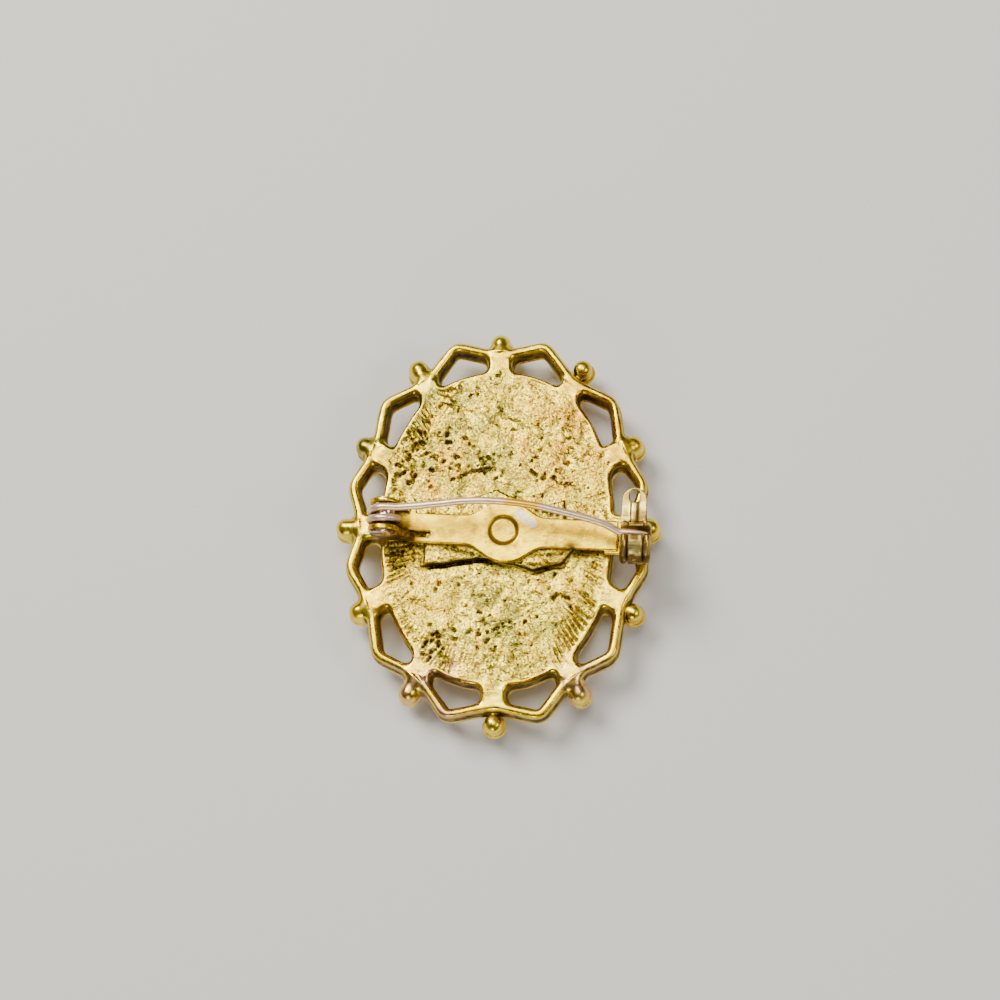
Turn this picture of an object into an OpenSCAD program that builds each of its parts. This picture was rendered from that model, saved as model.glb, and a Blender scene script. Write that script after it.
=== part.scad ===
// Oval cameo brooch, lying face down: a cast frame with a pierced, pointed border and twelve
// beads, a domed cameo in its front, and a bar finding with a hinged pin stem and a turning catch.
// X runs across the oval, Y along it, and Z up, towards the back of the brooch.
// Z = 0 is the surface that the cameo's relief rests on.

/* [Plate] */
// Width of the solid back plate, across the oval
plate_w = 22.8; // [21:0.1:24]
// Length of the solid back plate, along the oval
plate_l = 31.8; // [30:0.1:33]
// How square the plate's outline is: 2 is a plain oval, and more fills its shoulders
plate_square = 2.3; // [2:0.05:2.6]
// Thickness of the back plate
plate_t = 1.05; // [0.8:0.05:1.5]
// Width of the wall round the cameo
cup_wall = 1.45; // [1:0.05:1.8]
// How far the wall stands in front of the cameo's edge
cup_lip = 0.4; // [0.2:0.05:0.8]

/* [Border] */
// Width over the inner bends of the border wire
bends_w = 26.26; // [25.6:0.1:27]
// Length over the inner bends of the border wire
bends_l = 35.34; // [34.8:0.1:36]
// Width over the outer points of the border wire
points_w = 30.0; // [29:0.1:31]
// Length over the outer points of the border wire
points_l = 39.4; // [38.6:0.1:40.4]
// Thickness of the border from back to front
border_t = 2.4; // [1.8:0.1:2.6]
// How far the border's back stands above the plate
border_proud = 0.1; // [0.05:0.05:0.3]
// Width of the border wire at the back
wire_w = 0.95; // [0.7:0.05:1.2]
// Width of the border wire at its flared front edge
foot_w = 1.3; // [1.2:0.05:1.5]
// Height of the flared front edge
foot_t = 0.4; // [0.3:0.05:0.6]
// Rounding of the wire's points and bends
wire_round = 0.7; // [0.5:0.05:0.9]
// Height of the rounding along the wire's back
wire_ease = 0.2; // [0.1:0.05:0.3]
// Width of each web at the border wire
web_w = 2.3; // [1.6:0.05:2.5]
// Width of each web where it starts, under the plate
web_root_w = 2.6; // [2.3:0.05:3.2]

/* [Beads] */
// Width between the centres of the side beads
beads_w = 29.92; // [29.4:0.1:30.4]
// Length between the centres of the end beads
beads_l = 38.74; // [38.2:0.1:39.2]
// Diameter of a bead's body
bead_d = 1.95; // [1.5:0.05:2.1]
// Diameter of a bead's flared front rim
bead_rim_d = 2.4; // [2:0.05:2.5]
// How far a bead's rim stands in front of the border
bead_front = 0.7; // [0.5:0.05:1]
// How far a bead's back lies below the border's back
bead_drop = 0.45; // [0.2:0.05:1]
// Depth of the groove round the button in a bead's front
bead_dish = 0.25; // [0.1:0.05:0.4]
// Width of the neck that joins a bead to the border
neck_w = 1.4; // [1:0.05:1.6]

/* [Cameo] */
// Gap between the cameo and its cup
cameo_gap = 0.1; // [0.05:0.01:0.2]
// Thickness of the cameo's straight edge
girdle_t = 1.95; // [1.5:0.05:2.4]
// Height of the cameo's dome above its straight edge
dome_h = 1.3; // [1:0.05:1.8]
// Height of the carved relief above the dome
relief_h = 0.8; // [0.5:0.05:1]
// Radius of the carved rose
rose_r = 5.2; // [4.4:0.1:5.8]
// Length of a carved leaf
leaf_l = 5.6; // [4.8:0.1:6]
// Width of a carved leaf
leaf_w = 3.0; // [2.4:0.1:3.6]

/* [Pad] */
// Height of the cast pad that carries the bar
pad_t = 0.8; // [0.5:0.05:1.2]

/* [Bar] */
// Turn of the bar off the oval's cross line, in degrees
bar_skew = -2.4; // [-4:0.1:4]
// Place of the bar's disc across the oval
bar_x = 0.98; // [0:0.02:1.4]
// Place of the bar's disc along the oval
bar_y = -0.9; // [-1.5:0.05:1.5]
// Width of the bar
bar_w = 2.96; // [2.6:0.02:3.2]
// Thickness of the bar
bar_t = 0.6; // [0.5:0.05:0.8]
// Length of the bar from its disc to its catch end
bar_right = 10.95; // [10.5:0.05:11.4]
// Length of the bar from its disc to its hinge end
bar_left = 9.4; // [9:0.05:9.7]
// Diameter of the disc in the middle of the bar
disc_d = 6.2; // [5:0.1:7]
// Diameter of the ring stamped in the disc
ring_d = 2.84; // [2:0.02:3.4]
// Width of the stamped ring's groove
ring_w = 0.2; // [0.15:0.01:0.3]
// Depth of the stamped ring's groove
ring_deep = 0.12; // [0.08:0.01:0.2]

/* [Hinge] */
// Distance from the disc to the hinge's axis
hinge_u = 11.5; // [11.3:0.05:11.8]
// Height of the hinge's axis above the bar
hinge_rise = 2.5; // [2.3:0.05:2.8]
// Radius of the round top of a cheek
cheek_r = 1.5; // [1.3:0.02:1.6]
// Thickness of the cheek on the stem's side
cheek_up_t = 0.42; // [0.3:0.02:0.5]
// Thickness of the other cheek
cheek_low_t = 0.55; // [0.4:0.02:0.65]
// How far the other cheek's foot runs on along the bar
cheek_low_foot = 0.6; // [0.2:0.05:1]
// Length of the slit in the bar beside that cheek
slit_l = 2.1; // [1:0.05:2.2]
// Width of the slit
slit_w = 0.55; // [0.3:0.05:0.6]
// Distance of the slit from the bar's middle line
slit_v = 0.62; // [0.5:0.01:0.7]
// Gap between the coil and each cheek
side_gap = 0.2; // [0.1:0.01:0.3]
// Diameter of the rivet
rivet_d = 1.94; // [1.8:0.01:1.95]
// Gap between the rivet and the cheeks' holes
rivet_gap = 0.02; // [0.01:0.005:0.05]
// Thickness of the rivet's heads
rivet_head_t = 0.4; // [0.2:0.02:0.5]
// Diameter of the rivet's heads
rivet_head_d = 2.9; // [2.4:0.05:3]

/* [Stem] */
// Diameter of the stem's wire
stem_d = 0.7; // [0.6:0.01:0.76]
// Running gap between the coil and the rivet
coil_gap = 0.08; // [0.04:0.01:0.1]
// Distance between the coil's two turns
coil_pitch = 1.09; // [0.9:0.01:1.15]
// Place of the stem's turn across the bar
stem_v = 0.95; // [0.9:0.01:1]
// How far the stem bows to the side
bow_side = 1.5; // [0.5:0.05:2]
// How far the stem bows away from the bar
bow_up = 1.05; // [0.3:0.05:1.5]
// Length of the stem's point inside the catch
point_l = 2.6; // [2.2:0.05:2.9]

/* [Catch] */
// Place of the catch's axis across the bar
catch_v = -1.2; // [-1.3:0.02:-0.9]
// Height of the catch's axis above the bar
catch_rise = 2.0; // [1.98:0.02:2.3]
// Gap between the bar's end and the catch's first flange
flange_gap = 0.3; // [0.15:0.01:0.4]
// Diameter of the flanges
flange_d = 4.16; // [4.14:0.02:4.4]
// Thickness of a flange
flange_t = 0.75; // [0.6:0.05:0.9]
// Outer diameter of the fixed hook
hook_d = 4.0; // [3.9:0.02:4.1]
// Wall of the fixed hook
hook_wall = 0.27; // [0.25:0.01:0.4]
// Width of the fixed hook
hook_l = 1.35; // [1:0.05:1.4]
// Width of the tongue that carries the fixed hook
tongue_w = 1.3; // [1.2:0.05:2]
// Thickness of that tongue
tongue_t = 0.44; // [0.36:0.02:0.55]
// Running gap between the fixed hook and what turns in it
run_gap = 0.05; // [0.03:0.01:0.08]
// Wall of the turning collar
collar_wall = 0.2; // [0.18:0.01:0.3]
// Width of the mouth that lets the stem in
mouth_w = 1.0; // [0.96:0.01:1.1]
// Place of the stem in the mouth, across from the catch's axis
seat_v = 0.93; // [0.74:0.01:0.95]
// Height of the stem above the catch's axis
seat_z = 0.48; // [0.3:0.01:0.5]
// Length of the thumb tab beyond the flanges
tab_l = 3.4; // [2.8:0.05:3.8]
// Width of the thumb tab
tab_w = 2.45; // [2.35:0.05:2.6]
// Thickness of the thumb tab
tab_t = 0.45; // [0.35:0.05:0.5]
// Width of the hole in the thumb tab
tab_hole_w = 0.9; // [0.6:0.05:1.1]
// Length of the hole in the thumb tab
tab_hole_l = 1.3; // [1.2:0.05:1.5]
// Distance from the hole to the tab's tip
tab_hole_edge = 0.2; // [0.15:0.05:0.4]
// Width of the rib along the thumb tab
tab_rib_w = 0.6; // [0.4:0.05:0.8]
// Height of that rib above the tab
tab_rib_t = 0.2; // [0.1:0.05:0.3]

/* [Hidden] */
gold = [0.80, 0.70, 0.42];
yellow_brass = [0.82, 0.68, 0.34];
pale_brass = [0.78, 0.72, 0.55];
nickel = [0.80, 0.76, 0.72];
ivory = [0.90, 0.85, 0.74];
// How far one part of a solid reaches into the next
bite = 0.05;

// Heights, counted up from the surface that the relief touches
dome_z = relief_h;
girdle_z = dome_z + dome_h;
cameo_back_z = girdle_z + girdle_t;
cup_floor_z = cameo_back_z + cameo_gap;
plate_z = cup_floor_z + plate_t;
border_back_z = plate_z + border_proud;
border_front_z = border_back_z - border_t;
cup_front_z = girdle_z - cup_lip;
pad_z = plate_z + pad_t;
bar_z = pad_z + bar_t;
hinge_z = bar_z + hinge_rise;
catch_z = bar_z + catch_rise;

// The cup's hollow and the cameo's outline
hollow_a = plate_w / 2 - cup_wall;
hollow_b = plate_l / 2 - cup_wall;
cameo_a = hollow_a - cameo_gap;
cameo_b = hollow_b - cameo_gap;

// Stations round a quarter of the border: [angle on the oval, is it an outer point,
// distance as a share of the oval's own]
QUARTER = [
    [0, false, 1.0],
    [12.4, true, 0.983],
    [25.2, false, 1.026],
    [40.4, true, 1.0],
    [56.0, false, 1.007],
    [72.2, true, 0.996]
];
CROWN = [90, false, 1.0];

// Beads round a quarter: [angle on the oval, distance as a share of the oval's own]
BEAD_QUARTER = [[0, 1.0], [26.0, 0.99], [57.1, 1.01]];
BEAD_CROWN = [90, 1.0];

function mirrored(row, q) =
    concat([q % 2 == 0 ? 90 * q + row[0] : 90 * (q + 1) - row[0]],
           [for (i = [1 : len(row) - 1]) row[i]]);
function full_turn(quarter, crown) =
    [for (q = [0 : 3]) each q % 2 == 0
        ? [for (row = quarter) mirrored(row, q)]
        : [mirrored(crown, q),
           for (i = [len(quarter) - 1 : -1 : 1]) mirrored(quarter[i], q)]];

// An oval's point at an angle of its formula
function on_oval(w, l, a, share = 1) = [w / 2 * cos(a), l / 2 * sin(a)] * share;
function swollen(c, square) = sign(c) * pow(abs(c), 2 / square);
// An oval, or with square above 2 an oval with fuller shoulders
function oval(w, l, square = 2, n = 72) = [for (i = [0 : n - 1])
    [w / 2 * swollen(cos(360 * i / n), square), l / 2 * swollen(sin(360 * i / n), square)]];

// The border wire's middle line, round the whole oval
TURN = full_turn(QUARTER, CROWN);
WIRE = [for (s = TURN) s[1]
    ? on_oval(points_w, points_l, s[0], s[2])
    : on_oval(bends_w, bends_l, s[0], s[2])];
BENDS = [for (i = [0 : len(TURN) - 1]) if (!TURN[i][1]) WIRE[i]];
BEADS = [for (s = full_turn(BEAD_QUARTER, BEAD_CROWN)) on_oval(beads_w, beads_l, s[0], s[1])];

function unit(v) = v / norm(v);
function outward(v) = [v[1], -v[0]];
// The middle line moved outwards by off, with each corner on its mitre
function moved(line, off) = [for (i = [0 : len(line) - 1])
    let (n = len(line),
         a = outward(unit(line[i] - line[(i + n - 1) % n])),
         b = outward(unit(line[(i + 1) % n] - line[i])),
         m = unit(a + b))
    line[i] + m * off / (m * a)];
// The same line with each corner cut back by cut and bent in three steps
function eased(line, cut) = [for (i = [0 : len(line) - 1])
    let (n = len(line), p = line[i],
         a = p + unit(line[(i + n - 1) % n] - p) * cut,
         b = p + unit(line[(i + 1) % n] - p) * cut)
    each [a, (a + 2 * p + b) / 4, b]];

module band(w) {
    difference() {
        polygon(eased(moved(WIRE, w / 2), wire_round));
        polygon(eased(moved(WIRE, -w / 2), wire_round));
    }
}

// A web runs from the cup's wall to the middle of the wire at a bend
web_l = (bends_w - plate_w) / 2 + cup_wall;
module web(p) {
    reach = norm(p);
    rotate([0, 0, atan2(p[1], p[0])])
        polygon([[reach - web_l, -web_root_w / 2], [reach, -web_w / 2],
                 [reach, web_w / 2], [reach - web_l, web_root_w / 2]]);
}

// A bead's flared rim and waist, from its front: [radius as a share of the rim's,
// height as a share of the bead's]
BEAD_RIM = [[0.80, 0.02], [0.92, 0.02], [1.0, 0.07], [1.0, 0.18], [0.72, 0.31]];
// The low button in the rim, and the rounding of the bead's back, as shares of their radius
button_share = 0.64;
back_share = 0.8;

// Half a bead's outline: a low button in a flared rim, a waist, the body and its round back
module bead_half() {
    r = bead_d / 2;
    rim = bead_rim_d / 2;
    button = rim * button_share;
    tall = border_t + bead_front - bead_drop;
    polygon([
        for (a = [90 : -18 : 0]) [button * cos(a), bead_dish * (1 - sin(a))],
        [(button + rim * BEAD_RIM[0][0]) / 2, bead_dish],
        for (s = BEAD_RIM) [rim * s[0], tall * s[1]],
        for (a = [0 : 15 : 75]) [r * cos(a), tall - r * back_share * (1 - sin(a))],
        [0, tall]
    ]);
}

module bead(p) {
    translate([p[0], p[1], border_front_z - bead_front])
        rotate_extrude($fn = 48)
            bead_half();
    back = border_back_z - bead_drop - bead_d / 4;
    neck_l = (beads_w - bends_w + wire_w) / 2;
    neck_z = border_front_z + foot_t / 2;
    rotate([0, 0, atan2(p[1], p[0])])
        translate([norm(p) - neck_l, -neck_w / 2, neck_z])
            cube([neck_l, neck_w, back - neck_z]);
}

// The pad under the bar, an uneven cast lump: [along the bar, across the bar]
// as shares of half the disc's distance to the hinge and of half the disc
PAD = [
    [-1.37, -1.16], [-0.42, -0.84], [0.14, -0.94], [0.50, -1.13], [0.96, -0.90], [1.18, -0.42],
    [1.00, 0.52], [0.96, 1.16], [0.56, 0.84], [0.14, 1.13], [-0.19, 1.42], [-0.63, 1.10],
    [-0.87, 0.39], [-1.37, 0.39]
];

// Places what belongs to the bar: u along it from the disc's centre, v across it
module on_bar() {
    translate([bar_x, bar_y, 0])
        rotate([0, 0, bar_skew])
            children();
}

module frame() {
    color(gold) {
        difference() {
            translate([0, 0, cup_front_z])
                linear_extrude(plate_z - cup_front_z)
                    polygon(oval(plate_w, plate_l, plate_square));
            translate([0, 0, cup_front_z - bite])
                linear_extrude(cup_floor_z - cup_front_z + bite)
                    polygon(oval(2 * hollow_a, 2 * hollow_b));
        }
        translate([0, 0, border_front_z])
            linear_extrude(border_t)
                band(wire_w - 2 * wire_ease);
        translate([0, 0, border_front_z])
            linear_extrude(border_t - wire_ease)
                band(wire_w);
        translate([0, 0, border_front_z])
            linear_extrude(foot_t)
                band(foot_w);
        translate([0, 0, border_front_z])
            linear_extrude(plate_z - border_front_z)
                difference() {
                    union() {
                        for (p = BENDS) web(p);
                    }
                    polygon(oval(2 * hollow_a + cup_wall, 2 * hollow_b + cup_wall));
                }
        for (p = BEADS) bead(p);
        on_bar()
            translate([0, 0, plate_z - bite])
                linear_extrude(pad_t + bite)
                    polygon([for (p = PAD) [p[0] * hinge_u / 2, p[1] * disc_d / 2]]);
    }
}

// The cameo's front is a height field on rings. The inner rings follow the petals' edges, three
// to a row of petals, and the outer ones change from the last petals' edge to the oval.
ROW_RINGS = [0.84, 0.97, 1.02];
OUTER_RINGS = 7;
SPOKES = 60;

// The rose's rows of petals: [radius as a share of the rose, petals, turn, rim height as a
// share of the relief, depth of the dish as a share of the relief]
PETALS = [
    [1.0, 6, 0, 0.25, 0.60],
    [0.80, 5, 18, 0.0, 0.60],
    [0.60, 5, 54, 0.0, 0.60],
    [0.41, 4, 15, 0.0, 0.55],
    [0.22, 3, 42, 0.0, 0.35]
];
// Leaves: [direction, distance of the leaf's root as a share of the rose's radius]
LEAVES = [[58, 0.62], [122, 0.62], [238, 0.62], [302, 0.62], [90, 0.72], [270, 0.72]];

// Depth of the notch between two petals, as a share of their radius
notch = 0.14;
// Height of a leaf, as a share of the relief
leaf_rise = 0.7;
// How steeply the dome and the petals' dishes curve
dome_curve = 2.4;
// The plain rim of the cameo begins here, as a share of its reach
plain_rim = 0.93;

function oval_reach(a, th) = a[0] * a[1] / norm([a[1] * cos(th), a[0] * sin(th)]);
function petal_edge(p, th) = rose_r * p[0] * (1 - notch * (1 - sqrt(abs(cos(p[1] / 2 * (th - p[2]))))));
function petal_z(p, r, th) =
    let (e = petal_edge(p, th))
    r > e ? dome_h + relief_h : relief_h * (p[3] + p[4] * (1 - pow(r / e, dome_curve)));
function leaf_z(leaf, x, y, ground) =
    let (d = [cos(leaf[0]), sin(leaf[0])],
         q = [x, y] - d * rose_r * leaf[1],
         t = q * d / leaf_l,
         w = abs(q[0] * d[1] - q[1] * d[0]))
    t <= 0 || t >= 1 ? ground
        : let (half = leaf_w / 2 * pow(sin(180 * t), 0.8))
          w >= half ? ground : ground - relief_h * leaf_rise * (1 - pow(w / half, 2));
function cameo_z(r, th) =
    let (edge = oval_reach([cameo_a, cameo_b], th),
         ground = dome_z + dome_h * pow(r / edge, dome_curve),
         x = r * cos(th), y = r * sin(th))
    r >= edge * plain_rim ? ground
        : max(0, min(concat([ground], [for (p = PETALS) petal_z(p, r, th)],
                            [for (f = LEAVES) leaf_z(f, x, y, ground)])));
PETAL_RINGS = len(PETALS) * len(ROW_RINGS);
function ring_r(i, th) =
    let (row = PETALS[len(PETALS) - 1 - floor(i / len(ROW_RINGS))])
    i < PETAL_RINGS
        ? petal_edge(row, th) * ROW_RINGS[i % len(ROW_RINGS)]
        : let (k = (i - PETAL_RINGS + 1) / OUTER_RINGS)
          petal_edge(PETALS[0], th) * ROW_RINGS[len(ROW_RINGS) - 1] * (1 - k)
              + oval_reach([cameo_a, cameo_b], th) * k;

module cameo() {
    rings = PETAL_RINGS + OUTER_RINGS;
    front = [for (i = [0 : rings - 1], j = [0 : SPOKES - 1])
        let (th = 360 * j / SPOKES, r = ring_r(i, th))
        [r * cos(th), r * sin(th), cameo_z(r, th)]];
    back = [for (j = [0 : SPOKES - 1])
        let (th = 360 * j / SPOKES, r = oval_reach([cameo_a, cameo_b], th))
        [r * cos(th), r * sin(th), cameo_back_z]];
    points = concat(front, back, [[0, 0, cameo_z(0, 0)], [0, 0, cameo_back_z]]);
    tip = len(points) - 2;
    base = rings * SPOKES;
    function at(i, j) = i * SPOKES + j % SPOKES;
    faces = concat(
        [for (i = [0 : rings - 1], j = [0 : SPOKES - 1]) [at(i, j), at(i + 1, j), at(i + 1, j + 1)]],
        [for (i = [0 : rings - 1], j = [0 : SPOKES - 1]) [at(i, j), at(i + 1, j + 1), at(i, j + 1)]],
        [for (j = [0 : SPOKES - 1]) [tip, at(0, j), at(0, j + 1)]],
        [for (j = [0 : SPOKES - 1]) [tip + 1, base + (j + 1) % SPOKES, base + j]]
    );
    color(ivory)
        polyhedron(points, faces);
}

// Places across the bar: the stem's turn, the second turn and the cheeks' faces
coil_r = rivet_d / 2 + coil_gap + stem_d / 2;
second_v = stem_v - coil_pitch;
cheek_up_v = stem_v + stem_d / 2 + side_gap;
cheek_low_v = second_v - stem_d / 2 - side_gap;
catch_u = bar_right + flange_gap;
hook_u = catch_u + flange_t + run_gap;
end_u = hook_u + hook_l + run_gap;
hook_in = hook_d / 2 - hook_wall;
collar_out = hook_in - run_gap;
collar_in = collar_out - collar_wall;

// A cheek stands on the bar, with a round top and a foot that runs on along the bar
module cheek(v, t, foot) {
    translate([0, v + t, 0])
        rotate([90, 0, 0])
            linear_extrude(t) {
                translate([-hinge_u, hinge_z])
                    circle(r = cheek_r, $fn = 64);
                polygon([
                    [-hinge_u - cheek_r, hinge_z], [-hinge_u - cheek_r, pad_z],
                    [-bar_left + foot, pad_z], [-bar_left + foot, bar_z],
                    [-hinge_u + cheek_r, hinge_z]
                ]);
            }
}

module across(v, l, r, u, z) {
    translate([u, v, z])
        rotate([-90, 0, 0])
            cylinder(h = l, r = r, $fn = 64);
}

module along(u, l, r, v, z) {
    translate([u, v, z])
        rotate([0, 90, 0])
            cylinder(h = l, r = r, $fn = 64);
}

// The way the stem takes into the catch, from above, with extra room on each side
module mouth(extra) {
    translate([catch_u - bite, catch_v + seat_v - mouth_w / 2 - extra, catch_z])
        cube([end_u + flange_t - catch_u + 2 * bite, mouth_w + 2 * extra, flange_d]);
}
// The turning part's mouth is this much wider on each side than the fixed hook's
mouth_ease = 0.03;

module bar_strip() {
    floor_v = cheek_low_v - cheek_low_t;
    floor_w = cheek_up_v + cheek_up_t - floor_v;
    difference() {
        union() {
            translate([-bar_left, -bar_w / 2, pad_z])
                cube([bar_left + bar_right, bar_w, bar_t]);
            translate([0, 0, pad_z])
                cylinder(h = bar_t, d = disc_d, $fn = 96);
            translate([-hinge_u - cheek_r, floor_v, pad_z])
                cube([hinge_u + cheek_r - bar_left + cheek_low_foot, floor_w, bar_t]);
        }
        translate([0, 0, bar_z - ring_deep])
            difference() {
                cylinder(h = bar_t, d = ring_d, $fn = 64);
                translate([0, 0, -bite])
                    cylinder(h = bar_t + 2 * bite, d = ring_d - 2 * ring_w, $fn = 64);
            }
        translate([-bar_left, -slit_v - slit_w / 2, pad_z - bite])
            cube([slit_l, slit_w, bar_t + 2 * bite]);
    }
}

// The hook is a wide ring, open at the mouth, that stands on a tongue of the bar. The tongue
// passes under the first flange.
module fixed_hook() {
    tongue_top = catch_z - flange_d / 2 - run_gap;
    difference() {
        union() {
            along(hook_u, hook_l, hook_d / 2, catch_v, catch_z);
            translate([bar_right - tongue_w, catch_v - tongue_w / 2, tongue_top - tongue_t])
                cube([hook_u + hook_l - bar_right + tongue_w, tongue_w, tongue_t]);
            translate([hook_u, catch_v - tongue_w / 2, tongue_top - tongue_t])
                cube([hook_l, tongue_w, catch_z - tongue_top]);
        }
        along(hook_u - bite, hook_l + 2 * bite, hook_in, catch_v, catch_z);
        mouth(0);
    }
}

module pin_bar() {
    color(yellow_brass)
        on_bar() {
            difference() {
                union() {
                    bar_strip();
                    cheek(cheek_up_v, cheek_up_t, 0);
                    cheek(cheek_low_v - cheek_low_t, cheek_low_t, cheek_low_foot);
                }
                across(-bar_w, 2 * bar_w, rivet_d / 2 + rivet_gap, -hinge_u, hinge_z);
            }
            fixed_hook();
        }
}

// The rivet's head from its root: [radius as a share of the head's, height as a share of the head's]
RIVET_HEAD = [[1, 0], [1, 0.35], [0.8, 0.85], [0.5, 1]];
// Radius of the rivet's spread end, as a share of the head's
rivet_end_share = 0.8;

module hinge_rivet() {
    low = cheek_low_v - cheek_low_t - rivet_gap;
    high = cheek_up_v + cheek_up_t + rivet_gap;
    head_r = rivet_head_d / 2;
    color(pale_brass)
        on_bar() {
            across(low, high - low, rivet_d / 2, -hinge_u, hinge_z);
            translate([-hinge_u, low, hinge_z])
                rotate([90, 0, 0])
                    rotate_extrude($fn = 64)
                        polygon([[0, 0], for (s = RIVET_HEAD) [head_r * s[0], rivet_head_t * s[1]],
                                 [0, rivet_head_t]]);
            across(high, rivet_head_t / 2, head_r * rivet_end_share, -hinge_u, hinge_z);
        }
}

// The stem's bow: [distance along from the coil to the catch, bow], both as shares
BOW = [
    [0.06, 0.06], [0.09, 0.12], [0.15, 0.26], [0.20, 0.40], [0.25, 0.53], [0.32, 0.74], [0.40, 0.90],
    [0.47, 0.98], [0.55, 1.0], [0.63, 0.97], [0.70, 0.87], [0.80, 0.68], [0.88, 0.51], [0.94, 0.32],
    [0.98, 0.09]
];
// The stem's point: [distance along the point, thickness], both as shares
POINT = [[0, 1], [0.35, 1], [0.6, 0.82], [0.82, 0.5], [1, 0.14]];

// The wire leaves its coil straight for this stretch, and the bowed part starts inside it
stem_root = stem_d * 1.5;
root_share = 0.9;
stem_start = [-hinge_u, stem_v, hinge_z + coil_r];
stem_end = [catch_u, catch_v + seat_v, catch_z + seat_z];
stem_path = concat(
    [[stem_start + [stem_root * root_share, 0, 0], root_share]],
    [for (b = BOW) [stem_start + (stem_end - stem_start) * b[0] + [0, bow_side, bow_up] * b[1], 1]],
    [for (p = POINT) [stem_end + [point_l * p[0], 0, 0], p[1]]]
);

// Rings of points round a path of [place, thickness as a share]
function ring_on(p, d, r, sides) =
    let (a = unit(cross([0, 0, 1], d)), b = cross(d, a))
    [for (i = [0 : sides - 1]) p + r * (a * cos(360 * i / sides) + b * sin(360 * i / sides))];

module swept(path, r, sides) {
    n = len(path);
    points = [for (i = [0 : n - 1])
        let (d = i == 0 ? [1, 0, 0] : unit(path[min(i + 1, n - 1)][0] - path[i - 1][0]))
        each ring_on(path[i][0], d, r * path[i][1], sides)];
    function at(i, j) = i * sides + j % sides;
    faces = concat(
        [[for (j = [0 : sides - 1]) j]],
        [for (i = [0 : n - 2], j = [0 : sides - 1]) [at(i, j), at(i + 1, j), at(i + 1, j + 1)]],
        [for (i = [0 : n - 2], j = [0 : sides - 1]) [at(i, j), at(i + 1, j + 1), at(i, j + 1)]],
        [[for (j = [sides - 1 : -1 : 0]) at(n - 1, j)]]
    );
    polyhedron(points, faces);
}

// Radius of the link between the coil's turns, as a share of the wire
link_share = 0.43;
module coil_turn(v, from, sweep) {
    translate([-hinge_u, v, hinge_z])
        rotate([90, 0, 0])
            rotate([0, 0, from])
                rotate_extrude(angle = sweep, $fn = 64)
                    translate([coil_r, 0])
                        circle(d = stem_d, $fn = 32);
}

module pin_stem() {
    color(nickel)
        on_bar() {
            coil_turn(stem_v, 90, 270);
            coil_turn(second_v, 0, 360);
            across(second_v, coil_pitch, stem_d * link_share, -hinge_u, hinge_z - coil_r);
            along(-hinge_u, stem_root, stem_d / 2, stem_v, hinge_z + coil_r);
            swept(stem_path, stem_d / 2, 12);
        }
}

module catch_rotor() {
    r = flange_d / 2;
    tab_from = hook_d / 2 + run_gap;
    tip_v = catch_v + r + tab_l;
    round_v = tip_v - tab_w / 2;
    mid_u = catch_u + tab_w / 2;
    hole_v = tip_v - tab_hole_edge - tab_hole_l / 2;
    stretch = tab_hole_l - tab_hole_w;
    catch_l = end_u + flange_t - catch_u;
    arm_l = tab_from + tab_rib_w - collar_in;
    color(pale_brass)
        on_bar() {
            difference() {
                union() {
                    along(catch_u, flange_t, r, catch_v, catch_z);
                    along(end_u, flange_t, r, catch_v, catch_z);
                    along(catch_u, catch_l, collar_out, catch_v, catch_z);
                    for (u = [catch_u, end_u])
                        translate([u, catch_v + collar_in, catch_z - tab_t / 2])
                            cube([min(flange_t, catch_u + tab_w - u), arm_l, tab_t]);
                }
                along(catch_u - bite, catch_l + 2 * bite, collar_in, catch_v, catch_z);
                mouth(mouth_ease);
            }
            difference() {
                union() {
                    translate([catch_u, catch_v + tab_from, catch_z - tab_t / 2])
                        cube([tab_w, round_v - catch_v - tab_from, tab_t]);
                    translate([mid_u, round_v, catch_z - tab_t / 2])
                        cylinder(h = tab_t, d = tab_w, $fn = 64);
                    // The rib that stiffens the tab
                    translate([mid_u - tab_rib_w / 2, catch_v + tab_from, catch_z])
                        cube([tab_rib_w, hole_v - catch_v - tab_from, tab_t / 2 + tab_rib_t]);
                }
                for (s = [-0.5, 0.5])
                    translate([mid_u, hole_v + s * stretch, catch_z - tab_t])
                        cylinder(h = 2 * tab_t, d = tab_hole_w, $fn = 32);
                translate([mid_u - tab_hole_w / 2, hole_v - stretch / 2, catch_z - tab_t])
                    cube([tab_hole_w, stretch, 2 * tab_t]);
            }
        }
}

frame();
cameo();
pin_bar();
hinge_rivet();
pin_stem();
catch_rotor();
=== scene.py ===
# %% [markdown]
# # The back of a cameo brooch
# The brooch lies face down, so what shows is its back: a rough gold-toned casting with a pierced
# border and twelve beads, and a small bar finding with a hinged pin stem and a turning catch.
# The solids of every piece come ready, at their real size. This lesson gives each of them the
# surface of the real thing: a sculpted mesh where the solid is too crisp, and a finish of nodes.

import bpy
import numpy as np
from mathutils import Matrix, Vector


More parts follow.
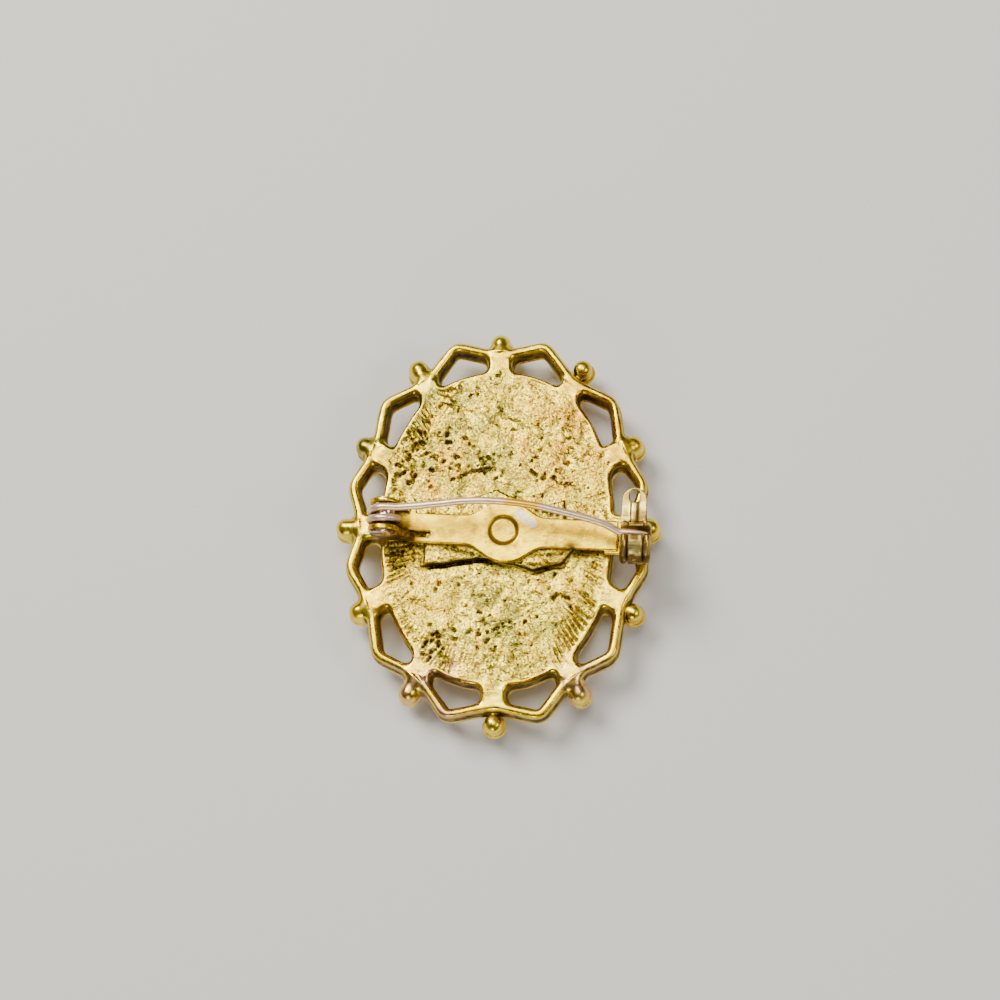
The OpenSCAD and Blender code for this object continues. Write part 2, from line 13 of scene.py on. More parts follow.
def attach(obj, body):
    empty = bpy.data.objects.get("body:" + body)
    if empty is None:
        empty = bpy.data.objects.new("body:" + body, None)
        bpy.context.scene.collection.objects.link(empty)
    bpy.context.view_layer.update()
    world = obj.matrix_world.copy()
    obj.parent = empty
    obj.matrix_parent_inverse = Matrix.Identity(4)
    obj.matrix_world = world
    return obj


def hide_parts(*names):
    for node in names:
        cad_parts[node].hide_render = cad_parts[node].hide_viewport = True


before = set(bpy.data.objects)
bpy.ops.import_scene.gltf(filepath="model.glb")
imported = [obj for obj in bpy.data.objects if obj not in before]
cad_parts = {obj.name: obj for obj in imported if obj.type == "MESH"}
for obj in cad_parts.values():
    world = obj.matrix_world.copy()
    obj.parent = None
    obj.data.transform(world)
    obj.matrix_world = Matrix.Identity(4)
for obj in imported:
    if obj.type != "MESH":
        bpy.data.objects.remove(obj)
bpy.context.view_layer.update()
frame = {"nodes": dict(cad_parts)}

MM = 0.001

# %% [markdown]
# ## The camera
# A photograph's view can be rebuilt from a few facts: what the lens points at, from which side,
# how far away it stands, and how much it is turned about its own line of sight. The brooch was
# taken from above, leaning towards its lower end, with a slightly long lens. The sizes here are
# in millimetres, and the picture is square.

# %% Set up the camera
AIM = Vector((0.32, 2.58, 5.3))
SIDE_LEAN = 0.0841
LOW_LEAN = 0.2762
DISTANCE = 209.4
TURN = 0.0207
SENSOR = 36.0
PICTURE = 1000
FOCAL_PIXELS = 2136


def set_camera():
    """A camera that looks down at the brooch's back, from where the photograph was taken."""
    towards = Vector((SIDE_LEAN, -LOW_LEAN, 1)).normalized()
    level_up = (Vector((0, 1, 0)) - towards * towards.y).normalized()
    level_right = level_up.cross(towards)
    right = level_right * np.cos(TURN) + level_up * np.sin(TURN)
    up = level_up * np.cos(TURN) - level_right * np.sin(TURN)
    data = bpy.data.cameras.new("photo_camera")
    data.sensor_width = SENSOR
    data.lens = SENSOR * FOCAL_PIXELS / PICTURE
    data.clip_start, data.clip_end = 0.01, 10
    camera = bpy.data.objects.new("photo_camera", data)
    place = (AIM + towards * DISTANCE) * MM
    camera.matrix_world = Matrix((right, up, towards)).transposed().to_4x4()
    camera.location = place
    bpy.context.scene.collection.objects.link(camera)
    bpy.context.scene.camera = camera
    return camera


camera = set_camera()
print("camera", [round(c, 3) for c in camera.location], "lens", round(camera.data.lens, 1), "mm")

# %% [markdown]
# Polished metal has hardly any colour of its own: it shows the room. One broad soft lamp on the
# upper left draws the long highlights, and a second hangs nearly overhead. Two weak ones fill
# the right side and the lower edge, and a dim world keeps the rest dark, so that the rough
# casting gets both bright and dark facets. The floor is plain.

# %% Lay the floor and hang the lamps
FLOOR_SIZE = 1.6
PAPER_COLOUR = (0.80, 0.79, 0.77, 1)
PAPER_ROUGHNESS = 0.9
ROOM_COLOUR = (0.16, 0.16, 0.17, 1)
ROOM_STRENGTH = 0.6
# A row for each lamp: name, place and width in metres, power in watts, and colour.
LAMPS = [("window", (-0.20, 0.20, 0.42), 0.24, 2.75, (1.0, 0.96, 0.86)),
         ("overhead", (0.03, 0.10, 0.50), 0.22, 0.9, (1.0, 0.97, 0.90)),
         ("fill", (0.40, -0.10, 0.35), 0.18, 0.7, (1.0, 0.95, 0.88)),
         ("low_edge", (-0.05, -0.45, 0.16), 0.16, 0.5, (1.0, 0.97, 0.92))]


def lay_floor():
    edge = FLOOR_SIZE / 2
    mesh = bpy.data.meshes.new("floor")
    mesh.from_pydata([(-edge, -edge, 0), (edge, -edge, 0), (edge, edge, 0), (-edge, edge, 0)],
                     [], [(0, 1, 2, 3)])
    floor = bpy.data.objects.new("floor", mesh)
    bpy.context.scene.collection.objects.link(floor)
    paper = bpy.data.materials.new("pale_paper")
    paper.use_nodes = True
    shader = paper.node_tree.nodes["Principled BSDF"]
    shader.inputs["Base Color"].default_value = PAPER_COLOUR
    shader.inputs["Roughness"].default_value = PAPER_ROUGHNESS
    mesh.materials.append(paper)


def hang_lamp(name, place, size, power, colour):
    """A round soft lamp that shines at the middle of the floor."""
    data = bpy.data.lights.new(name, "AREA")
    data.shape = "DISK"
    data.size = size
    data.energy = power
    data.color = colour
    lamp = bpy.data.objects.new(name, data)
    lamp.location = place
    lamp.rotation_euler = Vector(place).to_track_quat("Z", "Y").to_euler()
    bpy.context.scene.collection.objects.link(lamp)


def light_room():
    world = bpy.data.worlds.new("dim_room")
    world.use_nodes = True
    background = world.node_tree.nodes["Background"]
    background.inputs["Color"].default_value = ROOM_COLOUR
    background.inputs["Strength"].default_value = ROOM_STRENGTH
    bpy.context.scene.world = world


lay_floor()
for lamp_row in LAMPS:
    hang_lamp(*lamp_row)
light_room()

# %% [markdown]
# ## Shapes as distances
# A casting has no sharp inner corners: metal flows, and every joint between two forms is a small
# fillet. Booleans on hard solids can't give that. So the metal pieces here are sculpted as
# distance fields: a function tells, for each point in space, how far it is from the surface,
# negative inside. Two such forms flow together with a smooth minimum, a dent is a small
# addition, and in the end one mesh is drawn where the field is zero. The helpers come first.
# All lengths in them are millimetres.


# %% Blend distances
def melt(a, b, soft):
    """Both forms together, with a fillet about as wide as soft."""
    share = np.clip(0.5 + 0.5 * (b - a) / soft, 0, 1)
    return b * (1 - share) + a * share - soft * share * (1 - share)


def keep_in(a, b, soft):
    """What lies in both forms, with its edge rounded by soft."""
    return -melt(-a, -b, soft)


def cut_out(a, b, soft):
    """The first form without the second."""
    return -melt(-a, b, soft)


print("the fillet where two flat faces meet, mm:", round(-melt(0.0, 0.0, 0.4), 2))

# %% [markdown]
# Flat outlines give most of the forms: a wire is what lies near a line, a web what lies in a
# polygon, and the plate what lies in an oval.


# %% Measure from flat outlines
def from_segment(x, y, a, b):
    ax, ay = a
    bx, by = b[0] - ax, b[1] - ay
    share = np.clip(((x - ax) * bx + (y - ay) * by) / (bx * bx + by * by + 1e-12), 0, 1)
    return np.hypot(x - ax - bx * share, y - ay - by * share)


def from_line(x, y, points, closed):
    """The distance from a line of straight stretches."""
    ends = zip(points, np.roll(points, -1, axis=0) if closed else points[1:])
    return np.minimum.reduce([from_segment(x, y, a, b) for a, b in ends])


def from_outline(x, y, points):
    """The distance from a closed outline, negative inside it."""
    inside = np.zeros(np.broadcast(x, y).shape, bool)
    for (ax, ay), (bx, by) in zip(points, np.roll(points, -1, axis=0)):
        between = (ay > y) != (by > y)
        if ay != by:
            inside ^= between & (x < (bx - ax) * (y - ay) / (by - ay) + ax)
    return np.where(inside, -1, 1) * from_line(x, y, points, True)


def from_oval(x, y, a, b, square=2.0):
    """The distance from an oval of half width a and half length b, negative inside it."""
    px, py = np.abs(x / a) + 1e-6, np.abs(y / b) + 1e-6
    share = (px ** square + py ** square) ** (1 / square)
    slope = np.hypot(px ** (square - 1) / a, py ** (square - 1) / b) * share ** (1 - square)
    return (share - 1) / slope


print("1 mm off a line's middle:", round(float(from_segment(0.0, 1.0, (-2, 0), (2, 0))), 3))

# %% [markdown]
# Nothing cast or worn is even. A cloud is smooth random height: a coarse net of random numbers,
# blended between its knots. Its seed fixes it, so each run gives the same brooch.


# %% Make random height
NET_REACH = 40.0


def cloud(x, y, size, seed):
    """Random height from -1 to 1, with bumps about as wide as size."""
    rng = np.random.default_rng(seed)
    lean = rng.uniform(0, np.pi)
    across = (x * np.cos(lean) + y * np.sin(lean) + NET_REACH) / size
    along = (y * np.cos(lean) - x * np.sin(lean) + NET_REACH) / size
    count = int(2 * NET_REACH / size) + 2
    net = rng.uniform(-1, 1, (count, count))
    across, along = np.clip(across, 0, count - 1.01), np.clip(along, 0, count - 1.01)
    i, j = np.floor(across).astype(int), np.floor(along).astype(int)
    s, t = across - i, along - j
    s, t = s * s * (3 - 2 * s), t * t * (3 - 2 * t)
    low = net[i, j] * (1 - s) + net[i + 1, j] * s
    high = net[i, j + 1] * (1 - s) + net[i + 1, j + 1] * s
    return low * (1 - t) + high * t


def clouds(x, y, *rows):
    """Clouds added up, with a row for each: its height, its size and its seed."""
    return sum(height * cloud(x, y, size, seed) for height, size, seed in rows)


print("heights along a line:", np.round(cloud(np.arange(4.0), 0.0, 1.5, 1), 2))

# %% [markdown]
# The mesh of a field comes from its cells: a cell with both inside and outside corners gets one
# point, at the mean of where the surface cuts its edges, and each cut edge joins the four
# points round it with a face. The faces are small quads that follow every bump.


# %% Draw a field's surface
def grid(low, high, step):
    """The grid's points as three arrays that broadcast to a box."""
    return np.ix_(*[np.arange(a, b + step, step) for a, b in zip(low, high)])


def surface(field, low, step):
    """Points and quads where the field is zero."""
    cells = np.array(field.shape) - 1
    inside = field < 0
    total = np.zeros((cells.prod(), 3))
    count = np.zeros(cells.prod())
    quads = []
    for axis in range(3):
        first = [slice(None)] * 3
        second = [slice(None)] * 3
        first[axis], second[axis] = slice(None, -1), slice(1, None)
        a, b = field[tuple(first)], field[tuple(second)]
        at = np.array(np.nonzero(inside[tuple(first)] != inside[tuple(second)])).T
        va, vb = a[tuple(at.T)], b[tuple(at.T)]
        cut = at.astype(float)
        cut[:, axis] += va / (va - vb)
        others = [k for k in range(3) if k != axis]
        free = np.all((at[:, others] > 0) & (at[:, others] < cells[others]), axis=1)
        at, cut, outward = at[free], cut[free], (va < 0)[free]
        corners = []
        for du, dv in ((0, 0), (1, 0), (1, 1), (0, 1)):
            cell = at.copy()
            cell[:, others[0]] -= du
            cell[:, others[1]] -= dv
            flat = np.ravel_multi_index(tuple(cell.T), cells)
            count += np.bincount(flat, minlength=len(count))
            for k in range(3):
                total[:, k] += np.bincount(flat, cut[:, k], len(count))
            corners.append(flat)
        ring = np.array(corners).T
        outward = outward if axis != 1 else ~outward
        quads.append(np.where(outward[:, None], ring, ring[:, ::-1]))
    used = np.nonzero(count)[0]
    renumber = np.zeros(len(count), int)
    renumber[used] = np.arange(len(used))
    points = np.array(low) + total[used] / count[used, None] * step
    return points, renumber[np.concatenate(quads)]


def read_field(field, low, step, points):
    """The field's value at any points, blended between the grid's."""
    place = np.clip((points - low) / step, 0, np.array(field.shape) - 1.001)
    i = place.astype(int)
    t = place - i
    value = 0
    for corner in np.ndindex(2, 2, 2):
        share = np.prod(np.where(corner, t, 1 - t), axis=1)
        value = value + share * field[tuple((i + corner).T)]
    return value


ball_x, ball_y, ball_z = grid((-2, -2, -2), (2, 2, 2), 0.25)
ball = np.sqrt(ball_x ** 2 + ball_y ** 2 + ball_z ** 2) - 1.5
print("a 3 mm ball takes", len(surface(ball, (-2, -2, -2), 0.25)[1]), "faces of 0.25 mm")

# %% [markdown]
# A mesh becomes a piece when it has a name, rides on the solid body that it belongs to and hides
# the solids that it stands for. Decimation then spends the faces where the surface bends.


# %% Turn meshes into pieces
def make_piece(name, points, faces, material, body, stands_for):
    """A smooth piece from points in millimetres and faces of three or four corners."""
    mesh = bpy.data.meshes.new(name)
    faces = np.asarray(faces)
    sides = faces.shape[1]
    mesh.vertices.add(len(points))
    mesh.vertices.foreach_set("co", (np.asarray(points) * MM).astype(np.float32).ravel())
    mesh.loops.add(faces.size)
    mesh.loops.foreach_set("vertex_index", faces.astype(np.int32).ravel())
    mesh.polygons.add(len(faces))
    mesh.polygons.foreach_set("loop_start", np.arange(0, faces.size, sides, dtype=np.int32))
    mesh.update(calc_edges=True)
    mesh.validate()
    mesh.shade_smooth()
    mesh.materials.append(material)
    piece = bpy.data.objects.new(name, mesh)
    bpy.context.scene.collection.objects.link(piece)
    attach(piece, body)
    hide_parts(*stands_for)
    return piece


def settle(piece):
    """Applies the piece's modifiers to its mesh."""
    seen = piece.evaluated_get(bpy.context.evaluated_depsgraph_get())
    mesh = bpy.data.meshes.new_from_object(seen)
    mesh.name = piece.name
    piece.modifiers.clear()
    piece.data = mesh
    mesh.shade_smooth()


def thin_out(piece, most):
    """Brings the piece under a number of triangles."""
    have = sum(len(p.vertices) - 2 for p in piece.data.polygons)
    if have > most:
        thinner = piece.modifiers.new("thin", "DECIMATE")
        thinner.ratio = most / have
        settle(piece)
    now = sum(len(p.vertices) - 2 for p in piece.data.polygons)
    print(f"{piece.name}: {have} triangles, kept {now}")


print("solids to dress:", ", ".join(frame["nodes"]))

# %% [markdown]
# Old gilding is dark in its hollows, where tarnish and dirt stay, and bright on its edges, where
# cloth rubs it. The darkness in the hollows is also painted shade, the shade that falls into them.
# The field tells both: a little way out from a hollow it is still small, and a little way in from
# an edge it rises slowly. The two are kept as notes on the mesh, `hollow` and `edge`, a number
# from 0 to 1 for each point, for the finishes to use.

# %% Note hollows and edges
HOLLOW_REACH = (0.25, 0.6, 1.2)
EDGE_REACH = 0.3


def read_mesh(piece):
    """The mesh's points in millimetres, and their normals."""
    mesh = piece.data
    points = np.empty(len(mesh.vertices) * 3, np.float32)
    normals = np.empty_like(points)
    mesh.vertices.foreach_get("co", points)
    mesh.vertex_normals.foreach_get("vector", normals)
    return points.reshape(-1, 3) / MM, normals.reshape(-1, 3)


def write_notes(piece, **notes):
    """Keeps a number for each point of the mesh, under each name."""
    for name, value in notes.items():
        note = piece.data.attributes.new(name, "FLOAT", "POINT")
        note.data.foreach_set("value", value.astype(np.float32))


def note_hollows_and_edges(piece, field, low, step):
    points, normals = read_mesh(piece)
    hollow = 0
    for reach in HOLLOW_REACH:
        out = read_field(field, low, step, points + normals * reach)
        hollow = hollow + np.clip(1 - out / reach, 0, 1) / len(HOLLOW_REACH)
    within = read_field(field, low, step, points - normals * EDGE_REACH)
    edge = np.clip(1 + within / EDGE_REACH, 0, 1)
    write_notes(piece, hollow=hollow, edge=edge)
    print(f"{piece.name}: mean hollow {hollow.mean():.2f}, mean edge {edge.mean():.2f}")


def sculpt(name, field, low, step, most, material, body, stands_for):
    """A piece drawn from its field, with at most so many triangles, and its hollows and edges noted."""
    points, quads = surface(field, low, step)
    piece = make_piece(name, points, quads, material, body, stands_for)
    thin_out(piece, most)
    note_hollows_and_edges(piece, field, low, step)
    return piece


print("hollows are felt from", HOLLOW_REACH, "mm away, edges from", EDGE_REACH)

# %% [markdown]
# ## Finishes from nodes
# Each finish is a small net of nodes on one shader. The helpers add a node, read the object's
# own coordinates so that a pattern stays with its piece, and turn noise into a mask from 0 to 1.


# %% Node helpers
def add(material, kind, sockets=(), **settings):
    """A node with its settings, and a value or another node's output for each named socket."""
    made = material.node_tree.nodes.new("ShaderNode" + kind)
    for name, value in settings.items():
        setattr(made, name, value)
    for name, value in dict(sockets).items():
        if isinstance(value, bpy.types.NodeSocket):
            material.node_tree.links.new(value, made.inputs[name])
        else:
            made.inputs[name].default_value = value
    return made


def new_finish(name):
    """A material and its shader node."""
    material = bpy.data.materials.new(name)
    material.use_nodes = True
    return material, material.node_tree.nodes["Principled BSDF"]


def own_place(material):
    return add(material, "TexCoord").outputs["Object"]


def grain(material, size, detail=2.0, stretch=(1, 1, 1), shift=0.0):
    """Noise from 0 to 1 with lumps about as wide as size, in millimetres."""
    place = add(material, "Mapping", {"Vector": own_place(material), "Scale": stretch,
                                      "Location": (shift * MM, shift * MM, 0)})
    noise = add(material, "TexNoise", {"Vector": place.outputs[0], "Scale": 1 / (size * MM),
                                       "Detail": detail})
    return noise.outputs["Fac"]


def between(material, value, low, high, to_low=0.0, to_high=1.0):
    """Spreads low..high of a value over 0..1, or over other ends, softly."""
    made = add(material, "MapRange", {"Value": value, "From Min": low, "From Max": high,
                                      "To Min": to_low, "To Max": to_high},
               interpolation_type="SMOOTHSTEP")
    return made.outputs["Result"]


def lumps(material, size, low, high, to_low=0.0, to_high=1.0, **noise):
    """A mask of noise: to_low where the grain is under low, to_high where it is over high."""
    return between(material, grain(material, size, **noise), low, high, to_low, to_high)


def tint(material, share, first, second):
    """The first colour where share is 0, and the second where it is 1."""
    made = add(material, "Mix", {0: share, 6: first, 7: second}, data_type="RGBA")
    return made.outputs[2]


def times(material, a, b):
    return add(material, "Math", {0: a, 1: b}, operation="MULTIPLY").outputs[0]


def plus(material, a, b):
    return add(material, "Math", {0: a, 1: b}, operation="ADD").outputs[0]


def larger(material, a, b):
    return add(material, "Math", {0: a, 1: b}, operation="MAXIMUM").outputs[0]


def near(material, spot, full, gone):
    """1 close to a spot of the brooch and 0 far from it, in millimetres."""
    away = add(material, "VectorMath", {0: own_place(material), 1: [c * MM for c in spot]},
               operation="DISTANCE")
    return between(material, away.outputs["Value"], full * MM, gone * MM, 1.0, 0.0)


def noted(material, name):
    return add(material, "Attribute", attribute_name=name).outputs["Fac"]


def link(material, value, shader, socket):
    material.node_tree.links.new(value, shader.inputs[socket])


def bumps(material, shader, height, depth):
    """Fine relief in the shader, depth in millimetres."""
    made = add(material, "Bump", {"Height": height, "Distance": depth * MM, "Strength": 1.0})
    link(material, made.outputs["Normal"], shader, "Normal")


def set_all_over(shader, **sockets):
    """Numbers that are the same all over a piece, by the sockets' names with _ for a space."""
    for name, value in sockets.items():
        shader.inputs[name.replace("_", " ")].default_value = value


print("helpers for nodes are ready")

# %% [markdown]
# ## The gilded casting
# Its colour is a pale yellow gold, greenish grey towards the upper left, warm tan towards the
# upper right, and rosy on the lowest rim where the gilding has worn. Such stains are large and
# lie in certain places, so each is charted as a soft spot, torn up by noise. Dull speckles and
# creamy glints lie only where the metal is rough. Brown tarnish fills the hollows and pits, and
# rubbed edges stay bright and smooth.

# %% The casting's finish
YELLOW_GOLD = (0.80, 0.51, 0.025, 1)
PALE_GOLD = (0.93, 0.70, 0.055, 1)
GREEN_GREY = (0.25, 0.235, 0.035, 1)
WARM_TAN = (0.55, 0.27, 0.020, 1)
ROSY = (0.76, 0.45, 0.20, 1)
OLIVE_DIRT = (0.13, 0.085, 0.010, 1)
CREAM_GLINT = (1.0, 0.88, 0.20, 1)
BROWN_BLACK = (0.035, 0.018, 0.004, 1)
# A row for each stain: colour, middle, where it is full, where it ends, its grain, its shift.
STAINS = [(GREEN_GREY, (-4, 10, 5), 3, 10, 2.2, 3), (GREEN_GREY, (1, -9, 5), 2, 9, 2.0, 12),
          (GREEN_GREY, (1, 5, 5), 1, 5, 1.3, 14), (GREEN_GREY, (-15, 9, 5), 2, 7, 1.6, 16),
          (WARM_TAN, (6, 8, 5), 2, 8, 1.9, 7), (WARM_TAN, (-6, 6, 5), 1, 6, 1.4, 15),
          (WARM_TAN, (11, 13, 5), 2, 7, 1.0, 17), (ROSY, (-6, -17, 4), 2, 7, 1.4, 9),
          (ROSY, (9, -16, 4), 1, 5, 0.9, 18)]
STAIN_SHARE = 0.85
GRAIN_DEPTH = 0.07


def stained_gold(m, rough):
    """Yellow gold with its stains, speckles and glints."""
    base = tint(m, lumps(m, 1.5, 0.40, 0.60, detail=4.0), YELLOW_GOLD, PALE_GOLD)
    for colour, spot, full, gone, size, shift in STAINS:
        torn = lumps(m, size, 0.40, 0.60, detail=4.0, shift=shift)
        share = times(m, near(m, spot, full, gone), torn)
        base = tint(m, times(m, share, STAIN_SHARE), base, colour)
    speckle = times(m, lumps(m, 0.26, 0.46, 0.62, detail=4.0, shift=5), times(m, rough, 0.85))
    base = tint(m, speckle, base, OLIVE_DIRT)
    glint = times(m, lumps(m, 0.22, 0.56, 0.66, detail=3.0, shift=8), times(m, rough, 0.8))
    return tint(m, glint, base, CREAM_GLINT)


def dirt_and_painted_shade(m):
    """Dirt and tarnish, with painted shade, in hollows, on the openings' walls, in pits and beside the
    bar, but not on rubbed edges.
    """
    dirt_and_shade = times(m, between(m, noted(m, "hollow"), 0.38, 0.80),
                 lumps(m, 0.6, 0.30, 0.60, 0.5, 1.0, detail=3.0, shift=2))
    dirt_and_shade = times(m, dirt_and_shade, between(m, noted(m, "edge"), 0.30, 0.75, 1.0, 0.0))
    # Painted shade and dark reflection on the openings' upright walls, with tarnish.
    walls = times(m, noted(m, "wall"), lumps(m, 0.9, 0.36, 0.66, 1.0, 0.72, detail=3.0, shift=6))
    # Dirt in pits and grooves, and painted shade in the gap at the pad's foot and beside the bar.
    pits = times(m, noted(m, "pit"), lumps(m, 0.16, 0.30, 0.55, 0.35, 1.0, detail=3.0, shift=13))
    return larger(m, larger(m, dirt_and_shade, walls), pits)


def cast_gilding():
    m, shader = new_finish("cast_gilding")
    rough = noted(m, "rough")
    # Dirt and tarnish, and the shade painted in with them, darken the base to brown-black.
    dirt_and_shade = dirt_and_painted_shade(m)
    link(m, tint(m, dirt_and_shade, stained_gold(m, rough), BROWN_BLACK), shader, "Base Color")
    set_all_over(shader, Metallic=1.0)
    gloss = plus(m, lumps(m, 0.5, 0.3, 0.7, 0.22, 0.36, shift=2), times(m, rough, 0.04))
    link(m, plus(m, gloss, times(m, dirt_and_shade, 0.3)), shader, "Roughness")
    height = times(m, grain(m, 0.20, 3.0, shift=5), times(m, rough, 0.9))
    height = plus(m, height, times(m, grain(m, 0.5, 3.0), 0.2))
    bumps(m, shader, height, GRAIN_DEPTH)
    return m


gilding = cast_gilding()
print("nodes in the casting's finish:", len(gilding.node_tree.nodes))

# %% [markdown]
# ## The casting's sizes
# The same few sizes as the solid's, in millimetres: heights of its back, border and beads, and
# the stations of the border wire round a quarter of the oval. A station is an angle of the
# oval's formula, whether it is an outer point, and its share of the oval's reach.

# %% Sizes of the casting
PLATE = (11.4, 15.9)
PLATE_SQUARE = 2.3
HOLLOW = (9.95, 14.45)
HOLLOW_TOP = 4.15
PLATE_BACK = 5.2
CUP_FRONT = 1.7
RIM_BACK = 5.3
RIM_FRONT = 2.9
BENDS = (13.13, 17.67)
POINTS = (15.0, 19.7)
BEAD_OVAL = (14.96, 19.37)
STATIONS = [(0, False, 1.0), (12.4, True, 0.983), (25.2, False, 1.026),
            (40.4, True, 1.0), (56.0, False, 1.007), (72.2, True, 0.996)]
CROWN = (90, False, 1.0)
BEAD_STATIONS = [(0, 1.0), (26.0, 0.99), (57.1, 1.01)]
BEAD_CROWN = (90, 1.0)


def all_round(quarter, crown):
    """The stations of a quarter, mirrored round the whole oval."""
    stations = []
    for q in range(4):
        rows = quarter if q % 2 == 0 else [crown] + quarter[:0:-1]
        for row in rows:
            angle = 90 * q + row[0] if q % 2 == 0 else 90 * (q + 1) - row[0]
            stations.append((angle, *row[1:]))
    return stations


def on_oval(half, angle, share):
    a = np.radians(angle)
    return np.array([half[0] * np.cos(a), half[1] * np.sin(a)]) * share


rim_stations = all_round(STATIONS, CROWN)
rim_corners = [on_oval(POINTS if outer else BENDS, angle, share)
               for angle, outer, share in rim_stations]
bend_corners = [p for p, s in zip(rim_corners, rim_stations) if not s[1]]
bead_centres = [on_oval(BEAD_OVAL, angle, share)
                for angle, share in all_round(BEAD_STATIONS, BEAD_CROWN)]
print(len(rim_corners), "corners,", len(bend_corners), "bends and", len(bead_centres), "beads")

# %% [markdown]
# ## The casting from above
# Seen flat, the casting is a wire that zigzags between outer points and inner bends, a plate with
# full shoulders, and a web from each bend to the plate. The smooth minimum gives the openings
# their round corners, as metal that filled a mould has them.

# %% Draw the flat outline
WIRE_HALF = 0.47
CORNER_CUT = 0.75
WEB_IN = 3.2
WEB_ROOT_HALF = 1.3
WEB_TIP_HALF = 1.12
OPENING_SOFT = 0.8
PLATE_WAVER = (0.05, 1.6, 23)
WIRE_WAVER = (0.035, 1.7, 21)
WEB_WAVER = (0.05, 1.3, 24)


def round_corners(corners, cut):
    """A closed line with each corner bent in an arc that starts cut away from it."""
    line = []
    for i, p in enumerate(corners):
        back = corners[i - 1] - p
        ahead = corners[(i + 1) % len(corners)] - p
        a = p + back / np.linalg.norm(back) * cut
        b = p + ahead / np.linalg.norm(ahead) * cut
        for t in np.linspace(0, 1, 5):
            line.append(a * (1 - t) ** 2 + p * 2 * t * (1 - t) + b * t * t)
    return np.array(line)


def web_outline(x, y):
    """The webs from above, each a strip from its bend to under the plate."""
    webs = []
    for p in bend_corners:
        out = p / np.linalg.norm(p)
        side = np.array([-out[1], out[0]])
        root = p - out * WEB_IN
        webs.append(from_outline(x, y, np.array([
            root - side * WEB_ROOT_HALF, p - side * WEB_TIP_HALF,
            p + side * WEB_TIP_HALF, root + side * WEB_ROOT_HALF])))
    return np.minimum.reduce(webs)


def flat_outline(x, y):
    """How far the plate's edge, the wire's middle and the whole metal's edge are."""
    plate = from_oval(x, y, *PLATE, PLATE_SQUARE) + clouds(x, y, PLATE_WAVER)
    middle = from_line(x, y, round_corners(rim_corners, CORNER_CUT), True)
    wire = middle - WIRE_HALF + clouds(x, y, WIRE_WAVER)
    metal = melt(wire, web_outline(x, y) + clouds(x, y, WEB_WAVER), OPENING_SOFT)
    metal = melt(metal, plate, OPENING_SOFT)
    return plate, middle, metal


sample = flat_outline(np.array(0.0), np.array(10.0))
print("10 mm above the middle, plate, wire and metal are off by:", [round(float(d), 2) for d in sample])

# %% [markdown]
# ## Marks in the back
# The back of a cheap casting is left as it came from the mould. Its marks are part of its look,
# so they are charted one by one, all in millimetres and degrees.

